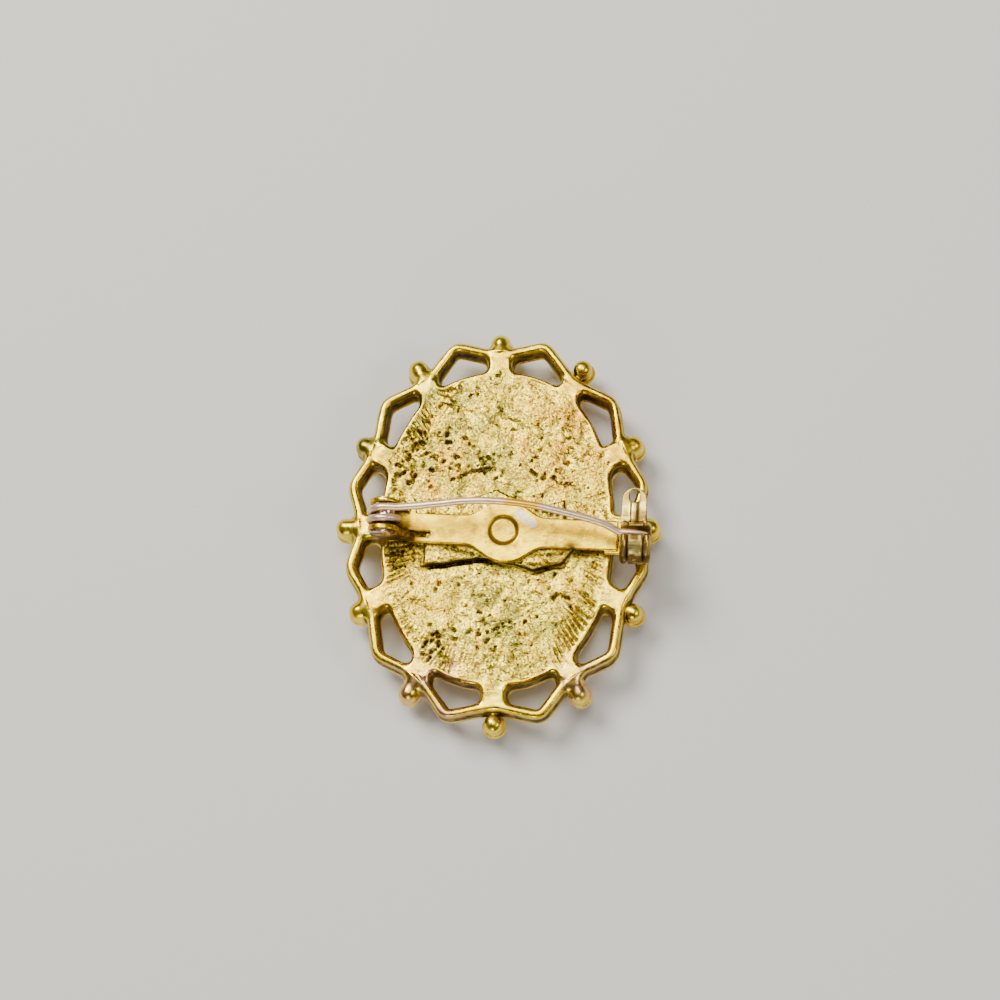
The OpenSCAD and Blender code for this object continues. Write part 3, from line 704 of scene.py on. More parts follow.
# %% Chart the marks
# A row for each mark: its middle's x and y, its length, direction, half width and depth.
MARKS = [
    (-4.98, 8.6, 0.3, 20, 0.26, 0.4), (-3.21, 9.06, 0.2, 0, 0.22, 0.35),
    (-6.48, 5.72, 0.3, 140, 0.24, 0.4), (-4.11, 6.16, 0.8, 5, 0.14, 0.28),
    (-3.11, 7.4, 0.3, 10, 0.18, 0.22), (-1.97, 7.47, 0.2, 0, 0.2, 0.2),
    (-7.86, 9.61, 0.8, 140, 0.2, 0.4), (-7.2, 9.2, 0.9, 120, 0.18, 0.38),
    (-8.34, 8.02, 0.7, 60, 0.22, 0.42), (-10.24, 7.9, 0.7, 170, 0.24, 0.42),
    (-9.22, 7.25, 0.9, 120, 0.18, 0.34), (-7.33, 7.36, 0.6, 30, 0.2, 0.36),
    (-8.89, 9.61, 0.5, 130, 0.18, 0.3), (-5.95, 9.33, 0.6, 70, 0.15, 0.24),
    (-7.13, 10.8, 0.5, 150, 0.16, 0.26), (-4.82, 14.05, 0.5, 20, 0.15, 0.24),
    (-5.15, 12.51, 0.7, 160, 0.18, 0.3), (-5.8, 12.4, 0.3, 20, 0.18, 0.24),
    (0.32, 11.98, 0.2, 0, 0.2, 0.26), (0.01, 15.6, 0.3, 60, 0.22, 0.26),
    (6.82, 6.4, 0.3, 150, 0.24, 0.38), (7.04, 8.94, 0.3, 20, 0.2, 0.22),
    (8.94, 7.36, 0.4, 160, 0.2, 0.22), (-0.64, -11.48, 0.7, 50, 0.18, 0.34),
    (-5.77, -10.81, 0.5, 20, 0.26, 0.42), (-6.63, -11.78, 0.6, 50, 0.24, 0.42),
    (-5.4, -11.78, 0.4, 100, 0.24, 0.4), (-5.1, -12.47, 0.4, 40, 0.2, 0.34),
    (-6.31, -13.3, 0.5, 60, 0.22, 0.34), (-3.93, -10.39, 0.4, 130, 0.18, 0.26),
    (-2.43, -10.6, 0.4, 30, 0.18, 0.24), (-1.98, -6.98, 0.3, 0, 0.18, 0.2),
    (-9.78, -2.92, 0.9, 5, 0.18, 0.3), (-9.74, -4.13, 0.8, 20, 0.22, 0.32),
    (7, -7.17, 0.7, 150, 0.24, 0.24), (-3.9, 4.95, 1.6, 18, 0.18, 0.34),
    (-2.3, 5.58, 1.5, 14, 0.18, 0.32), (-0.5, 5.82, 2, 2, 0.16, 0.26),
    (-0.8, 6.9, 1.1, 154, 0.14, 0.3), (3.5, 5.5, 1.6, 140, 0.12, 0.32),
    (5.8, 4.7, 0.9, 128, 0.18, 0.32), (6.9, 4.3, 1.6, 175, 0.15, 0.3),
    (1.02, -9.7, 0.7, 35, 0.12, 0.34), (1.8, -9.74, 0.8, 152, 0.12, 0.34),
    (-12.3, -7.56, 1, 22, 0.13, 0.4), (-11.3, -8.1, 1, 30, 0.12, 0.3),
    (-8.4, 5.1, 0.6, 90, 0.2, 0.26), (-9.4, 5.4, 0.5, 30, 0.22, 0.3),
    (-3.1, -2.8, 3.6, 163, 0.18, 0.25), (5.3, -3.1, 3.2, 5, 0.14, 0.22),
    (3.5, -4.05, 3.6, 170, 0.16, 0.22), (4.7, -3.6, 2, 140, 0.12, 0.2),
    (5, 1.15, 2.2, 168, 0.18, 0.3), (-4.6, -3.6, 2, 175, 0.1, 0.18),
]
RAGGED = [(0.10, 0.30, 17), (0.09, 0.17, 18)]
PIT_WALL = 0.22


def marks_depth(x, y):
    """The marks' depth: steep ragged pits, not round dents."""
    ragged = clouds(x, y, *RAGGED)
    depth = np.zeros(np.broadcast(x, y).shape)
    for mx, my, length, direction, width, deep in MARKS:
        turn = np.radians(direction)
        dx, dy = np.array([np.cos(turn), np.sin(turn)]) * length / 2
        away = from_segment(x, y, (mx - dx, my - dy), (mx + dx + 1e-4, my + dy)) + ragged
        depth = np.maximum(depth, deep * np.clip((width * 0.8 - away) / PIT_WALL, 0, 1))
    return depth


print(len(MARKS), "marks charted")

# %% [markdown]
# A lump of the casting, the pad, carries the bar. The bar lies a little askew, so its own
# directions are turned: `along` it, and `across` it. Below the bar the pad is undercut, and a
# gap runs along its foot, painted dark as shade.

# %% Place the pad
BAR_PLACE = np.array([0.98, -0.90])
BAR_SKEW = np.radians(-2.4)
PAD_BACK = 5.97
# The pad's outline, along and across the bar, as shares of its unit.
PAD_UNIT = (5.75, 3.1)
PAD_OUTLINE = [(-1.37, -1.16), (-0.42, -0.84), (0.14, -0.94), (0.50, -1.13), (0.96, -0.90),
               (1.18, -0.42), (1.00, 0.52), (0.96, 1.16), (0.56, 0.84), (0.14, 1.13),
               (-0.19, 1.42), (-0.63, 1.10), (-0.87, 0.39), (-1.37, 0.39)]
PAD_WAVER = (0.12, 1.2, 41)
# The gap at its foot: a place along the bar, and its share of the full depth there.
PAD_GAP = [(-9.0, 0.0), (-7.75, 0.1), (-7.2, 0.9), (-6.5, 1.0), (-2.0, 1.0), (-0.6, 0.1),
           (2.0, 0.1), (3.2, 0.5), (5.0, 0.5), (6.5, 0.0)]
GAP_DEPTH = 0.34
GAP_PLACE = (0.12, 0.16)


def bar_ways(x, y):
    """A place on the brooch as places along and across the bar."""
    c, s = np.cos(BAR_SKEW), np.sin(BAR_SKEW)
    dx, dy = x - BAR_PLACE[0], y - BAR_PLACE[1]
    return dx * c + dy * s, dy * c - dx * s


def to_brooch(points):
    """Points from the bar's ways to the brooch's."""
    c, s = np.cos(BAR_SKEW), np.sin(BAR_SKEW)
    u, v, z = np.asarray(points).T
    return np.stack([BAR_PLACE[0] + u * c - v * s, BAR_PLACE[1] + u * s + v * c, z], axis=1)


def pad_outline(x, y):
    along, across = bar_ways(x, y)
    outline = np.array(PAD_OUTLINE) * PAD_UNIT
    return from_outline(along, across, outline) + clouds(x, y, PAD_WAVER)


def pad_gap_depth(x, y):
    """The gap at the pad's foot, deepest below the bar on the left; its depth also sets the shade painted
    in it.
    """
    along, across = bar_ways(x, y)
    share = np.clip(-across - 1.2, 0, 1) * np.interp(along, *zip(*PAD_GAP))
    outside, half = GAP_PLACE
    return GAP_DEPTH * share * np.exp(-((pad_outline(x, y) - outside) / half) ** 2)


print("pad, mm:", [round(float(w), 1) for w in np.ptp(np.array(PAD_OUTLINE) * PAD_UNIT, axis=0)])

# %% [markdown]
# Between the charted marks the metal is spongy in patches, where gas came out of it: swarms of
# small pits. And near the rim the mould was scraped: fine grooves run towards the edge on the
# lower left, the left and the right. They are noise that is drawn out along the oval's reach.

# %% Pit the patches and scrape the mould
# A row for each pitted patch: its middle's x and y, its reach and its strength.
PITTED = [(-8.2, 8.0, 2.9, 1.0), (-5.0, 7.4, 2.2, 0.8), (-9.0, 4.6, 2.0, 0.8), (-5.6, -11.6, 1.9, 1.0),
          (-0.8, -11.0, 2.2, 0.7), (-1.0, 6.2, 2.2, 0.6), (5.0, 5.6, 2.6, 0.5), (-9.6, -3.4, 1.3, 0.9),
          (7.2, -6.6, 2.0, 0.5), (3.4, -9.8, 2.4, 0.4), (-3.2, -8.0, 2.4, 0.3)]
SPONGE = [(1, 0.42, 61), (0.6, 0.24, 62)]
SPONGE_DEPTH = 0.24
# A row for each scraped stretch: its middle and spread in degrees, and its strength.
SCRAPED = [(203, 24, 1.0), (322, 26, 0.9), (248, 20, 0.7), (178, 14, 0.8), (140, 14, 0.7), (20, 16, 0.3)]
STROKE_REACH = 2.8
STROKE_GAP = 0.42
STROKE_DEPTH = 0.20


def sponge_depth(x, y):
    """Swarms of small pits, thick in the pitted patches and rare elsewhere."""
    share = 0.1
    for px, py, reach, strength in PITTED:
        share = np.maximum(share, strength * np.exp(-((x - px) ** 2 + (y - py) ** 2) / reach ** 2))
    holes = clouds(x, y, *SPONGE)
    return SPONGE_DEPTH * np.clip((holes - 1.05 + 0.85 * share) / 0.5, 0, 1)


def strokes_depth(x, y, off_edge):
    """Grooves across the edge, in the scraped stretches of the oval."""
    angle = np.degrees(np.arctan2(y / PLATE[1], x / PLATE[0])) % 360
    around = (angle - 180) * 0.2
    lines = np.sin(2 * np.pi * (around / STROKE_GAP + 0.45 * cloud(x, y, 1.8, 33)))
    broken = np.clip(0.6 + cloud(around, off_edge * 0.4, 0.6, 31), 0, 1)
    strokes = np.clip((lines - 0.2) / 0.6, 0, 1) * broken
    share = 0
    for middle, spread, strength in SCRAPED:
        apart = np.abs((angle - middle + 180) % 360 - 180)
        share = np.maximum(share, strength * np.exp(-(apart / spread) ** 2))
    band = np.exp(-((off_edge + 1.4) / (STROKE_REACH / 2)) ** 2)
    return STROKE_DEPTH * strokes * share * band


def pits_depth(x, y, plate):
    pits = np.maximum(marks_depth(x, y), sponge_depth(x, y))
    return pits + strokes_depth(x, y, plate) + pad_gap_depth(x, y)


def calm_share(plate, middle, metal):
    """0 on smooth edges, ridges and wires, and 1 on the rough inside."""
    inside = np.clip((-metal - 0.34) / 0.3, 0, 1) * np.clip((middle - 0.55) / 0.5, 0, 1)
    return inside * np.clip(0.75 - plate * 0.5, 0.45, 1)


print("pitted patches:", len(PITTED), "scraped stretches:", len(SCRAPED))

# %% [markdown]
# ## Sculpting the casting
# The back's height over each point of the flat outline: the plate's level, a smooth raised ridge
# round every opening, the wire's round back, and on the inside the roughness, marks and grooves.

# %% Raise the back
STEP = 0.11
CAST_LOW = np.array([-16.5, -20.9, 1.4])
CAST_HIGH = np.array([16.5, 20.9, 6.4])
# The ridge round each opening: how far in from the edge, its half width and its height.
RIDGE = (0.24, 0.20, 0.10)
ROUND_OFF = 0.17
SWELL = [(0.06, 3.4, 12), (0.085, 1.3, 13)]
FINE = [(0.09, 0.62, 14), (0.06, 0.34, 15)]


def back_height(x, y, plate, middle, metal):
    """The back's height at each point."""
    level = PLATE_BACK + (RIM_BACK - 0.04 - PLATE_BACK) * np.clip(plate / 0.8 + 0.5, 0, 1)
    rough = 0.6 + 0.4 * np.clip(cloud(x, y, 4.5, 11) * 1.6, -1, 1)
    swell = clouds(x, y, *SWELL)
    fine = clouds(x, y, *FINE) * rough
    calm = calm_share(plate, middle, metal)
    inset, width, high = RIDGE
    ridge = high * np.exp(-((metal + inset) / width) ** 2) * np.clip((middle - 0.4) / 0.5, 0, 1)
    height = level + ridge + (fine - pits_depth(x, y, plate)) * calm + swell * (0.3 + 0.7 * calm) - 0.04
    return np.minimum(height, RIM_BACK - 0.01) - ROUND_OFF * np.clip(1 + metal / WIRE_HALF, 0, 1) ** 2


x, y, z = grid(CAST_LOW, CAST_HIGH, STEP)
plate, middle, metal = flat_outline(x, y)
back = back_height(x, y, plate, middle, metal)
print("back's height, mm:", round(float(back[metal < 0].min()), 2), "to", round(float(back.max()), 2))

# %% [markdown]
# In depth, the metal's sides widen a little towards the front and end in a thin flared edge. The
# cup for the cameo is a wall under the plate's edge, with the plate for its floor.

# %% Give it depth
EDGE_SOFT = 0.42
WIDENING = 0.05
FLARE = 0.17
FLARE_SOFT = 0.12
FLARE_HALF = 0.2
FLARE_WAVER = (0.04, 0.9, 27)
WALL_OVER = 0.4
WALL_SOFT = 0.1
CUP_SOFT = 0.05

sides = metal - WIDENING * np.clip(RIM_BACK - z, 0, RIM_BACK - RIM_FRONT)
casting = keep_in(sides, z - back, EDGE_SOFT)
casting = keep_in(casting, RIM_FRONT - z, FLARE_SOFT)
flare_height = np.abs(z - RIM_FRONT - FLARE_HALF) - FLARE_HALF
flare = keep_in(metal - FLARE + clouds(x, y, FLARE_WAVER), flare_height, FLARE_SOFT)
casting = melt(casting, flare, FLARE_SOFT)
wall = keep_in(plate, np.maximum(z - HOLLOW_TOP - WALL_OVER, CUP_FRONT - z), WALL_SOFT)
casting = melt(casting, wall, WALL_SOFT)
cup = np.maximum(from_oval(x, y, *HOLLOW), z - HOLLOW_TOP)
casting = cut_out(casting, cup, CUP_SOFT)
print("casting's grid:", casting.shape, "points", casting.size)

# %% [markdown]
# ## Beads
# Each bead sits in front of the border on a short neck. From behind it is a smooth dome with a
# dark waist and the bright flared edge of its front rim. A sphere would miss the waist, so the
# bead is a turned form: a closed outline of distance from its axis and height. No two came out
# of the mould alike, so each takes its own small share of size and lean. The four at the ends
# of the oval keep their full size, because they reach as far as the solid does.

# %% Sculpt the beads
BEAD_BACK = 4.85
BEAD_FRONT = 2.2
BEAD_SECTION = [(0, 0.00), (0.32, 0.02), (0.64, 0.14), (0.76, 0.27), (0.90, 0.24), (0.99, 0.07),
                (1.10, 0.05), (1.19, 0.14), (1.19, 0.34), (1.06, 0.50), (0.88, 0.68), (0.84, 0.90),
                (0.91, 1.20), (0.96, 1.60), (0.93, 1.95), (0.80, 2.27), (0.57, 2.50), (0.28, 2.62),
                (0, 2.65)]
BEAD_SHRINK = 0.06
BEAD_LEAN = 0.05
NEAR_BEAD = 3.8
NECK_HEIGHT = 3.9
NECK_LENGTH = 1.9
NECK_FLAT = 0.8
NECK_SOFT = 0.3
# A neck's half width, and how softly it melts into the border.
WIDE_NECK = (1.0, 0.80)
THIN_NECK = (0.42, 0.20)
THIN_NECKED = (2, 9, 11)
TOP_BEAD = 3
TOP_BEAD_IN = 0.3
END_BEADS = (0, 3, 6, 9)


def bead_field(bx, by, bz, centre, lean, size):
    """One bead, turned about its leaning axis."""
    rise = bz - BEAD_BACK
    away = np.hypot(bx - centre[0] - lean[0] * rise, by - centre[1] - lean[1] * rise) / size
    section = np.array(BEAD_SECTION)
    outline = np.concatenate([section, section[::-1] * [-1, 1]])
    return from_outline(away, bz - BEAD_FRONT + 0 * away, outline) * size


def neck_field(bx, by, bz, centre, half):
    """A round bar from the bead's middle to under the border."""
    out = centre / np.linalg.norm(centre)
    away = from_segment(bx, by, centre, centre - out * NECK_LENGTH)
    return np.hypot(away, (bz - NECK_HEIGHT) * NECK_FLAT) - half


def block_near(centre, shape):
    """The block of the grid that a bead can reach."""
    low = np.floor((np.array([*centre, BEAD_FRONT]) - NEAR_BEAD - CAST_LOW) / STEP).astype(int)
    high = np.ceil((np.array([*centre, BEAD_BACK]) + NEAR_BEAD - CAST_LOW) / STEP).astype(int)
    return tuple(slice(a, b) for a, b in zip(np.maximum(low, 0), np.minimum(high, shape)))


def add_beads(field):
    rng = np.random.default_rng(5)
    for number, centre in enumerate(bead_centres):
        uneven = number not in END_BEADS
        size = 1 - BEAD_SHRINK * rng.uniform(0, 1) * uneven
        lean = rng.uniform(-BEAD_LEAN, BEAD_LEAN, 2) * uneven
        if number == TOP_BEAD:
            centre = centre - (0, TOP_BEAD_IN)
        block = block_near(centre, field.shape)
        i, j, k = block
        place = (x[i], y[:, j], z[:, :, k])
        neck_half, soft = THIN_NECK if number in THIN_NECKED else WIDE_NECK
        bead = bead_field(*place, centre, lean, size)
        bead = melt(bead, neck_field(*place, centre, neck_half), NECK_SOFT)
        field[block] = melt(field[block], bead, soft)
    return field


casting = add_beads(casting)
print("beads melted on:", len(bead_centres))

# %% [markdown]
# A wide neck that melts into the border would stand out of its back as a lump. So everything is
# planed off just above the back, and the plane rises steeply where the border ends, to leave
# the beads' domes whole.

# %% Plane the necks off
PLANE_OVER = 0.05
PLANE_FROM = 0.35
PLANE_RUN = 0.6
PLANE_RISE = 3
PLANE_SOFT = 0.12

rising = np.clip(metal + PLANE_FROM, 0, PLANE_RUN) * PLANE_RISE
casting = keep_in(casting, z - back - PLANE_OVER - rising, PLANE_SOFT)
print("the plane rises from the back by up to", round(float(rising.max()), 1), "mm")

# %% [markdown]
# ## The raised pad
# A lump of the casting carries the bar. It shows as a bright bank above the bar's disc and as
# a step below it. Its back takes the same charted marks as the plate's, because the folds beside
# the bar run over both. With the pad on, the field is whole, and the casting can be drawn.

# %% Add the pad and draw the casting
CAST_TRIANGLES = 195000
PAD_SOFT = 0.25
SHRINK = 0.012


def pad_field(x, y, z):
    off = pad_outline(x, y)
    back = PAD_BACK - 0.06 + 0.05 * cloud(x, y, 0.9, 42) + 0.03 * cloud(x, y, 0.5, 43)
    back = np.minimum(back, PAD_BACK) - marks_depth(x, y)
    return keep_in(keep_in(off, z - back, 0.2), PLATE_BACK - 0.5 - z, 0.05)


casting = melt(casting, pad_field(x, y, z), PAD_SOFT)
casting += 0.010 * cloud(x + z, y - z, 0.55, 44) + SHRINK
cast_frame = sculpt("cast_frame", casting, CAST_LOW, STEP, CAST_TRIANGLES, gilding,
                    "brooch", ["frame"])

# %% [markdown]
# Three more notes help the finish: `rough`, where the surface is as cast, `pit`, where a pit or a
# groove has caught dirt, and where shade is painted in the gap at the pad's foot and, with dirt,
# beside the bar, and `wall`, the openings' upright sides, painted dark as tarnish and as the shade
# and dark reflection on them. The walls' upper part isn't noted, because cloth still reaches it.
# The pad's own sides are noted all the way up, because they lie in the bar's shade, painted there.

# %% Note roughness, dirt and walls
BACK_FROM = 4.6
WALL_FROM = 3.3
WALL_TO = 5.0
UPRIGHT = 0.80
# The dirt and painted shade beside the bar: how far off its middle line, its half width, its reach along
# the bar.
UNDER_BAR = (1.85, 0.75, 8.0)


def bar_shade_and_dirt(px, py):
    """Streaks of dirt and painted shade along both edges of the bar."""
    along, across = bar_ways(px, py)
    middle, half, reach = UNDER_BAR
    band = np.clip(1 - np.abs(np.abs(across) - middle) / half, 0, 1) * (np.abs(along) < reach)
    streaks = np.clip(0.5 + 1.2 * cloud(px * 0.5, py * 2.2, 0.9, 71), 0, 1)
    return 0.9 * band * streaks


def wall_share(plate, metal, height, facing_up):
    """1 on the openings' upright sides, behind the flared edge and below the rubbed back."""
    upright = np.clip((UPRIGHT - np.abs(facing_up)) / 0.3, 0, 1)
    wall = upright * np.clip((0.45 - metal) / 0.1, 0, 1)
    wall = wall * np.clip((height - WALL_FROM) / 0.15, 0, 1)
    return wall * np.maximum(np.clip((WALL_TO - height) / 0.4, 0, 1), plate < -1)


def note_back(piece):
    points, normals = read_mesh(piece)
    px, py, pz = points.T
    plate, middle, metal = flat_outline(px, py)
    on_back = np.clip((pz - BACK_FROM) / 0.2, 0, 1)
    rough = calm_share(plate, middle, metal) * on_back
    pit = np.clip(pits_depth(px, py, plate) / 0.20, 0, 1) * rough
    pit = np.maximum(pit, bar_shade_and_dirt(px, py) * on_back)
    write_notes(piece, rough=rough, pit=pit, wall=wall_share(plate, metal, pz, normals[:, 2]))
    print(f"rough {rough.mean():.2f}, pitted {(pit > 0.5).mean():.3f} of the casting's points")


note_back(cast_frame)

# %% [markdown]
# ## Two kinds of brass
# The bar and the catch are stamped brass, brushed, yellow on the bar and paler on the catch. Brown
# stains sit in their hollows and in the groove round the disc, with shade painted there too, and
# painted shade with some dirt darkens the hinge, the catch's underside and the place behind it. A
# white highlight is painted across the bar beside its disc, and the bar's hook is plated as pale as
# the catch. What lies in one certain place is charted as a soft spot. One function makes both
# finishes, so that they age alike.

# %% The brass finishes
BAR_TOP = 6.6
BAR_LIGHT = (0.90, 0.64, 0.015, 1)
BAR_DARK = (0.62, 0.38, 0.010, 1)
CATCH_PALE = (0.86, 0.68, 0.20, 1)
CATCH_DARK = (0.42, 0.27, 0.06, 1)
STAIN_AND_SHADE_BROWN = (0.10, 0.05, 0.012, 1)
HIGHLIGHT_WHITE = (0.78, 0.86, 0.92, 1)
# A row for each spot: its place along, across and above, where it is full, and where it ends.
# A painted highlight: a white spot across the bar beside its disc.
PAINTED_HIGHLIGHT_SPOTS = [(along, across, BAR_TOP, 0.15, 0.62)
              for along, across in ((1.1, 1.9), (1.6, 1.55), (2.1, 1.2), (2.6, 0.85))]
BAR_PALE = [(12.7, -1.2, 9.2, 2.2, 2.8)]
# Spots of painted shade with some dirt on the bar, the first two at the hinge.
BAR_SHADE_AND_GRIME = [(-10.8, -1.2, 7.2, 1.3, 2.8), (-10.0, -1.0, 6.6, 0.8, 2.2), (12.7, -3.1, 8.9, 1.1, 2.3),
             (12.7, -1.0, 10.6, 0.2, 1.3), (6.5, -1.6, 6.6, 0.3, 1.3)]
# Spots of painted shade with some dirt on the catch.
CATCH_SHADE_AND_GRIME = [(12.2, -3.1, 8.9, 1.0, 2.1), (13.9, -3.1, 8.9, 1.0, 2.3), (13.2, 0.7, 9.4, 0.4, 1.5),
               (12.5, 3.2, 8.8, 0.2, 1.0)]


def near_bar(m, spot):
    """1 close to a charted spot of the bar, and 0 far from it."""
    *place, full, gone = spot
    return near(m, to_brooch([place])[0], full, gone)


def brass_stain_and_shade(m, stained, shade_and_grime):
    """Brown stains, and painted shade in hollows, in the groove and at the charted dark spots, less on
    rubbed edges.
    """
    stain = times(m, lumps(m, 0.8, 0.48, 0.66, detail=4.0, shift=4), stained)
    # Painted shade in the hollows, added to the stains.
    stain = plus(m, stain, between(m, noted(m, "hollow"), 0.40, 0.85))
    rubbed = between(m, noted(m, "edge"), 0.3, 0.8, 1.0, 0.2)
    stain = between(m, times(m, stain, rubbed), 0.0, 1.0)
    # Painted shade and dirt in the stamped groove.
    stain = larger(m, stain, noted(m, "groove"))
    # Painted shade with some dirt at the charted spots.
    for spot in shade_and_grime:
        torn = lumps(m, 0.7, 0.30, 0.54, 0.25, 0.95, detail=4.0, shift=9)
        stain = larger(m, stain, times(m, near_bar(m, spot), torn))
    return stain


def brushed_brass(name, light, dark, roughness, stained, shade_and_grime, pale=(), highlight_spots=()):
    m, shader = new_finish(name)
    base = tint(m, lumps(m, 1.7, 0.35, 0.62, detail=3.0), light, dark)
    for spot in pale:
        base = tint(m, near_bar(m, spot), base, CATCH_PALE)
    # Brown for the stains and for the painted shade carried with them.
    stain = brass_stain_and_shade(m, stained, shade_and_grime)
    base = tint(m, stain, base, STAIN_AND_SHADE_BROWN)
    highlit = None
    # The painted highlight, white and less metallic.
    for spot in highlight_spots:
        highlight = times(m, near_bar(m, spot), lumps(m, 0.4, 0.30, 0.55, detail=3.0, shift=11))
        base = tint(m, times(m, highlight, 0.65), base, HIGHLIGHT_WHITE)
        highlit = highlight if highlit is None else larger(m, highlit, highlight)
    link(m, base, shader, "Base Color")
    set_all_over(shader, Metallic=1.0)
    if highlit is not None:
        link(m, between(m, highlit, 0.0, 1.0, 1.0, 0.35), shader, "Metallic")
    brushed = grain(m, 0.14, 2.0, stretch=(0.25, 1, 1), shift=1)
    rough = between(m, brushed, 0.3, 0.7, *roughness)
    link(m, plus(m, rough, times(m, stain, 0.25)), shader, "Roughness")
    bumps(m, shader, plus(m, times(m, brushed, 0.25), grain(m, 0.9, 3.0)), 0.02)
    return m


bar_brass = brushed_brass("bar_brass", BAR_LIGHT, BAR_DARK, (0.24, 0.38), 0.40, BAR_SHADE_AND_GRIME, BAR_PALE,
                          PAINTED_HIGHLIGHT_SPOTS)
catch_brass = brushed_brass("catch_brass", CATCH_PALE, CATCH_DARK, (0.26, 0.42), 0.55, CATCH_SHADE_AND_GRIME)
for brass in (bar_brass, catch_brass):
    print(brass.name, "has", len(brass.node_tree.nodes), "nodes")

# %% [markdown]
# ## The bar finding
# The bar is flat, with a disc in its middle and a ring stamped into the disc. Its hinge end is
# folded up into two cheeks, and at its other end a hook stands on a tongue: most of a ring,
# open on top to take the stem. Stamping rolls every edge over a little, which a field gives at
# once. The bar lies a little askew on the brooch, so it is sculpted in its own straight ways
# and turned to its place at the end.


# %% Sculpt the bar
BAR_STEP = 0.08
BAR_LOW = np.array([-13.4, -3.5, 5.6])
BAR_HIGH = np.array([13.9, 3.5, 11.0])
BAR_BOTTOM = 6.0
BAR_HALF = 1.48
BAR_ENDS = (-9.4, 10.95)
BAR_TRIANGLES = 120000
DISC_R = 3.1
DISC_SOFT = 1.3
# The stamped ring: its middle along and across the bar, and its radius.
RING = (-0.16, 0.07, 1.32)
RING_HALF = 0.125
RING_DEPTH = 0.15
DISH_DEPTH = 0.035
HINGE = (-11.5, 9.1)
RIVET_R = 0.97
RIVET_ROOM = 0.02
CHEEK_R = 1.5
# A row for each cheek: its two sides across the bar, and how much longer its foot is.
CHEEKS = [(1.50, 1.92, 0.0), (-1.24, -0.69, 0.6)]
FOOT = (-13.0, -8.8)
SLIT = ((-9.4, -0.895, 5), (-7.3, -0.345, 8))
HOOK = (12.05, 13.4)
HOOK_R = (1.73, 2.0)
CATCH = (-1.2, 8.6)
MOUTH = (-0.77, 0.23)
# The tongue: its start along the bar, its bottom and top, and its half width.
TONGUE = (9.65, 6.03, 6.47, 0.65)
POST_TOP = 7.4
EDGE_ROLL = 0.12
CUT_ROLL = 0.08


def box_field(u, v, z, low, high, soft):
    """A box with rounded edges between two corners."""
    sides = [np.maximum(a - w, w - b) for w, a, b in zip((u, v, z), low, high)]
    return keep_in(keep_in(sides[0], sides[1], soft), sides[2], soft)


def off_ring(u, v):
    """How far a place is outside the stamped ring's line."""
    return np.hypot(u - RING[0], v - RING[1]) - RING[2]


def bar_field(u, v, z):
    flat = np.maximum(np.abs(v) - BAR_HALF, np.maximum(BAR_ENDS[0] - u, u - BAR_ENDS[1]))
    flat = melt(flat, np.hypot(u, v) - DISC_R, DISC_SOFT)
    foot = np.maximum(np.maximum(FOOT[0] - u, u - FOOT[1]),
                      np.maximum(CHEEKS[1][0] - v, v - CHEEKS[0][1]))
    flat = melt(flat, foot, 0.3)
    top = BAR_TOP - RING_DEPTH * np.exp(-(off_ring(u, v) / RING_HALF) ** 2)
    top = top - DISH_DEPTH * np.clip(-off_ring(u, v) / 0.3, 0, 1) + clouds(u, v, (0.012, 1.4, 51))
    bar = keep_in(keep_in(flat, z - top, EDGE_ROLL), BAR_BOTTOM - z, CUT_ROLL)
    return cut_out(bar, box_field(u, v, z, *SLIT, 0.1), CUT_ROLL)


def cheek_field(u, v, z, low_v, high_v, foot):
    upper = np.hypot(u - HINGE[0], z - HINGE[1]) - CHEEK_R
    lower = from_outline(u, z, np.array([
        (HINGE[0] - CHEEK_R, HINGE[1]), (HINGE[0] - CHEEK_R, BAR_BOTTOM),
        (BAR_ENDS[0] + foot, BAR_BOTTOM), (BAR_ENDS[0] + foot, BAR_TOP),
        (HINGE[0] + CHEEK_R, HINGE[1])]))
    side = np.abs(v - (low_v + high_v) / 2) - (high_v - low_v) / 2
    return keep_in(np.minimum(upper, lower), side, EDGE_ROLL)


def mouth_field(u, v, z, ends, room):
    """The slot that the stem drops into, from the catch's axis up, with room on each side."""
    return box_field(u, v, z, (ends[0], MOUTH[0] - room, CATCH[1]), (ends[1], MOUTH[1] + room, 12), 0.02)


def hook_field(u, v, z):
    away = np.hypot(v - CATCH[0], z - CATCH[1])
    wall = np.abs(away - sum(HOOK_R) / 2) - (HOOK_R[1] - HOOK_R[0]) / 2
    ring = keep_in(wall, np.maximum(HOOK[0] - u, u - HOOK[1]), CUT_ROLL)
    ring = cut_out(ring, mouth_field(u, v, z, (11, 14.3), 0), 0.06)
    start, bottom, top, half = TONGUE
    sides = (CATCH[0] - half, CATCH[0] + half)
    tongue = box_field(u, v, z, (start, sides[0], bottom), (HOOK[1], sides[1], top), 0.1)
    post = box_field(u, v, z, (HOOK[0], sides[0], bottom), (HOOK[1], sides[1], POST_TOP), CUT_ROLL)
    post = cut_out(melt(tongue, post, 0.1), away - HOOK_R[0], 0.02)
    return melt(ring, post, EDGE_ROLL)


u, v, z = grid(BAR_LOW, BAR_HIGH, BAR_STEP)
bar = bar_field(u, v, z)
for cheek in CHEEKS:
    bar = melt(bar, cheek_field(u, v, z, *cheek), EDGE_ROLL)
bore = np.hypot(u - HINGE[0], z - HINGE[1]) - RIVET_R - RIVET_ROOM
bar = cut_out(bar, bore + 0 * v, 0.04)
bar = melt(bar, hook_field(u, v, z), EDGE_ROLL)
stamped_bar = sculpt("stamped_bar", bar, BAR_LOW, BAR_STEP, BAR_TRIANGLES, bar_brass,
                     "brooch", ["pin_bar"])

# %% [markdown]
# The stamped groove is so narrow that its field hardly counts as a hollow, yet it is the line
# that draws the disc. So it gets a note of its own, `groove`, straight from the ring's formula.
# Then the bar is turned to its place.

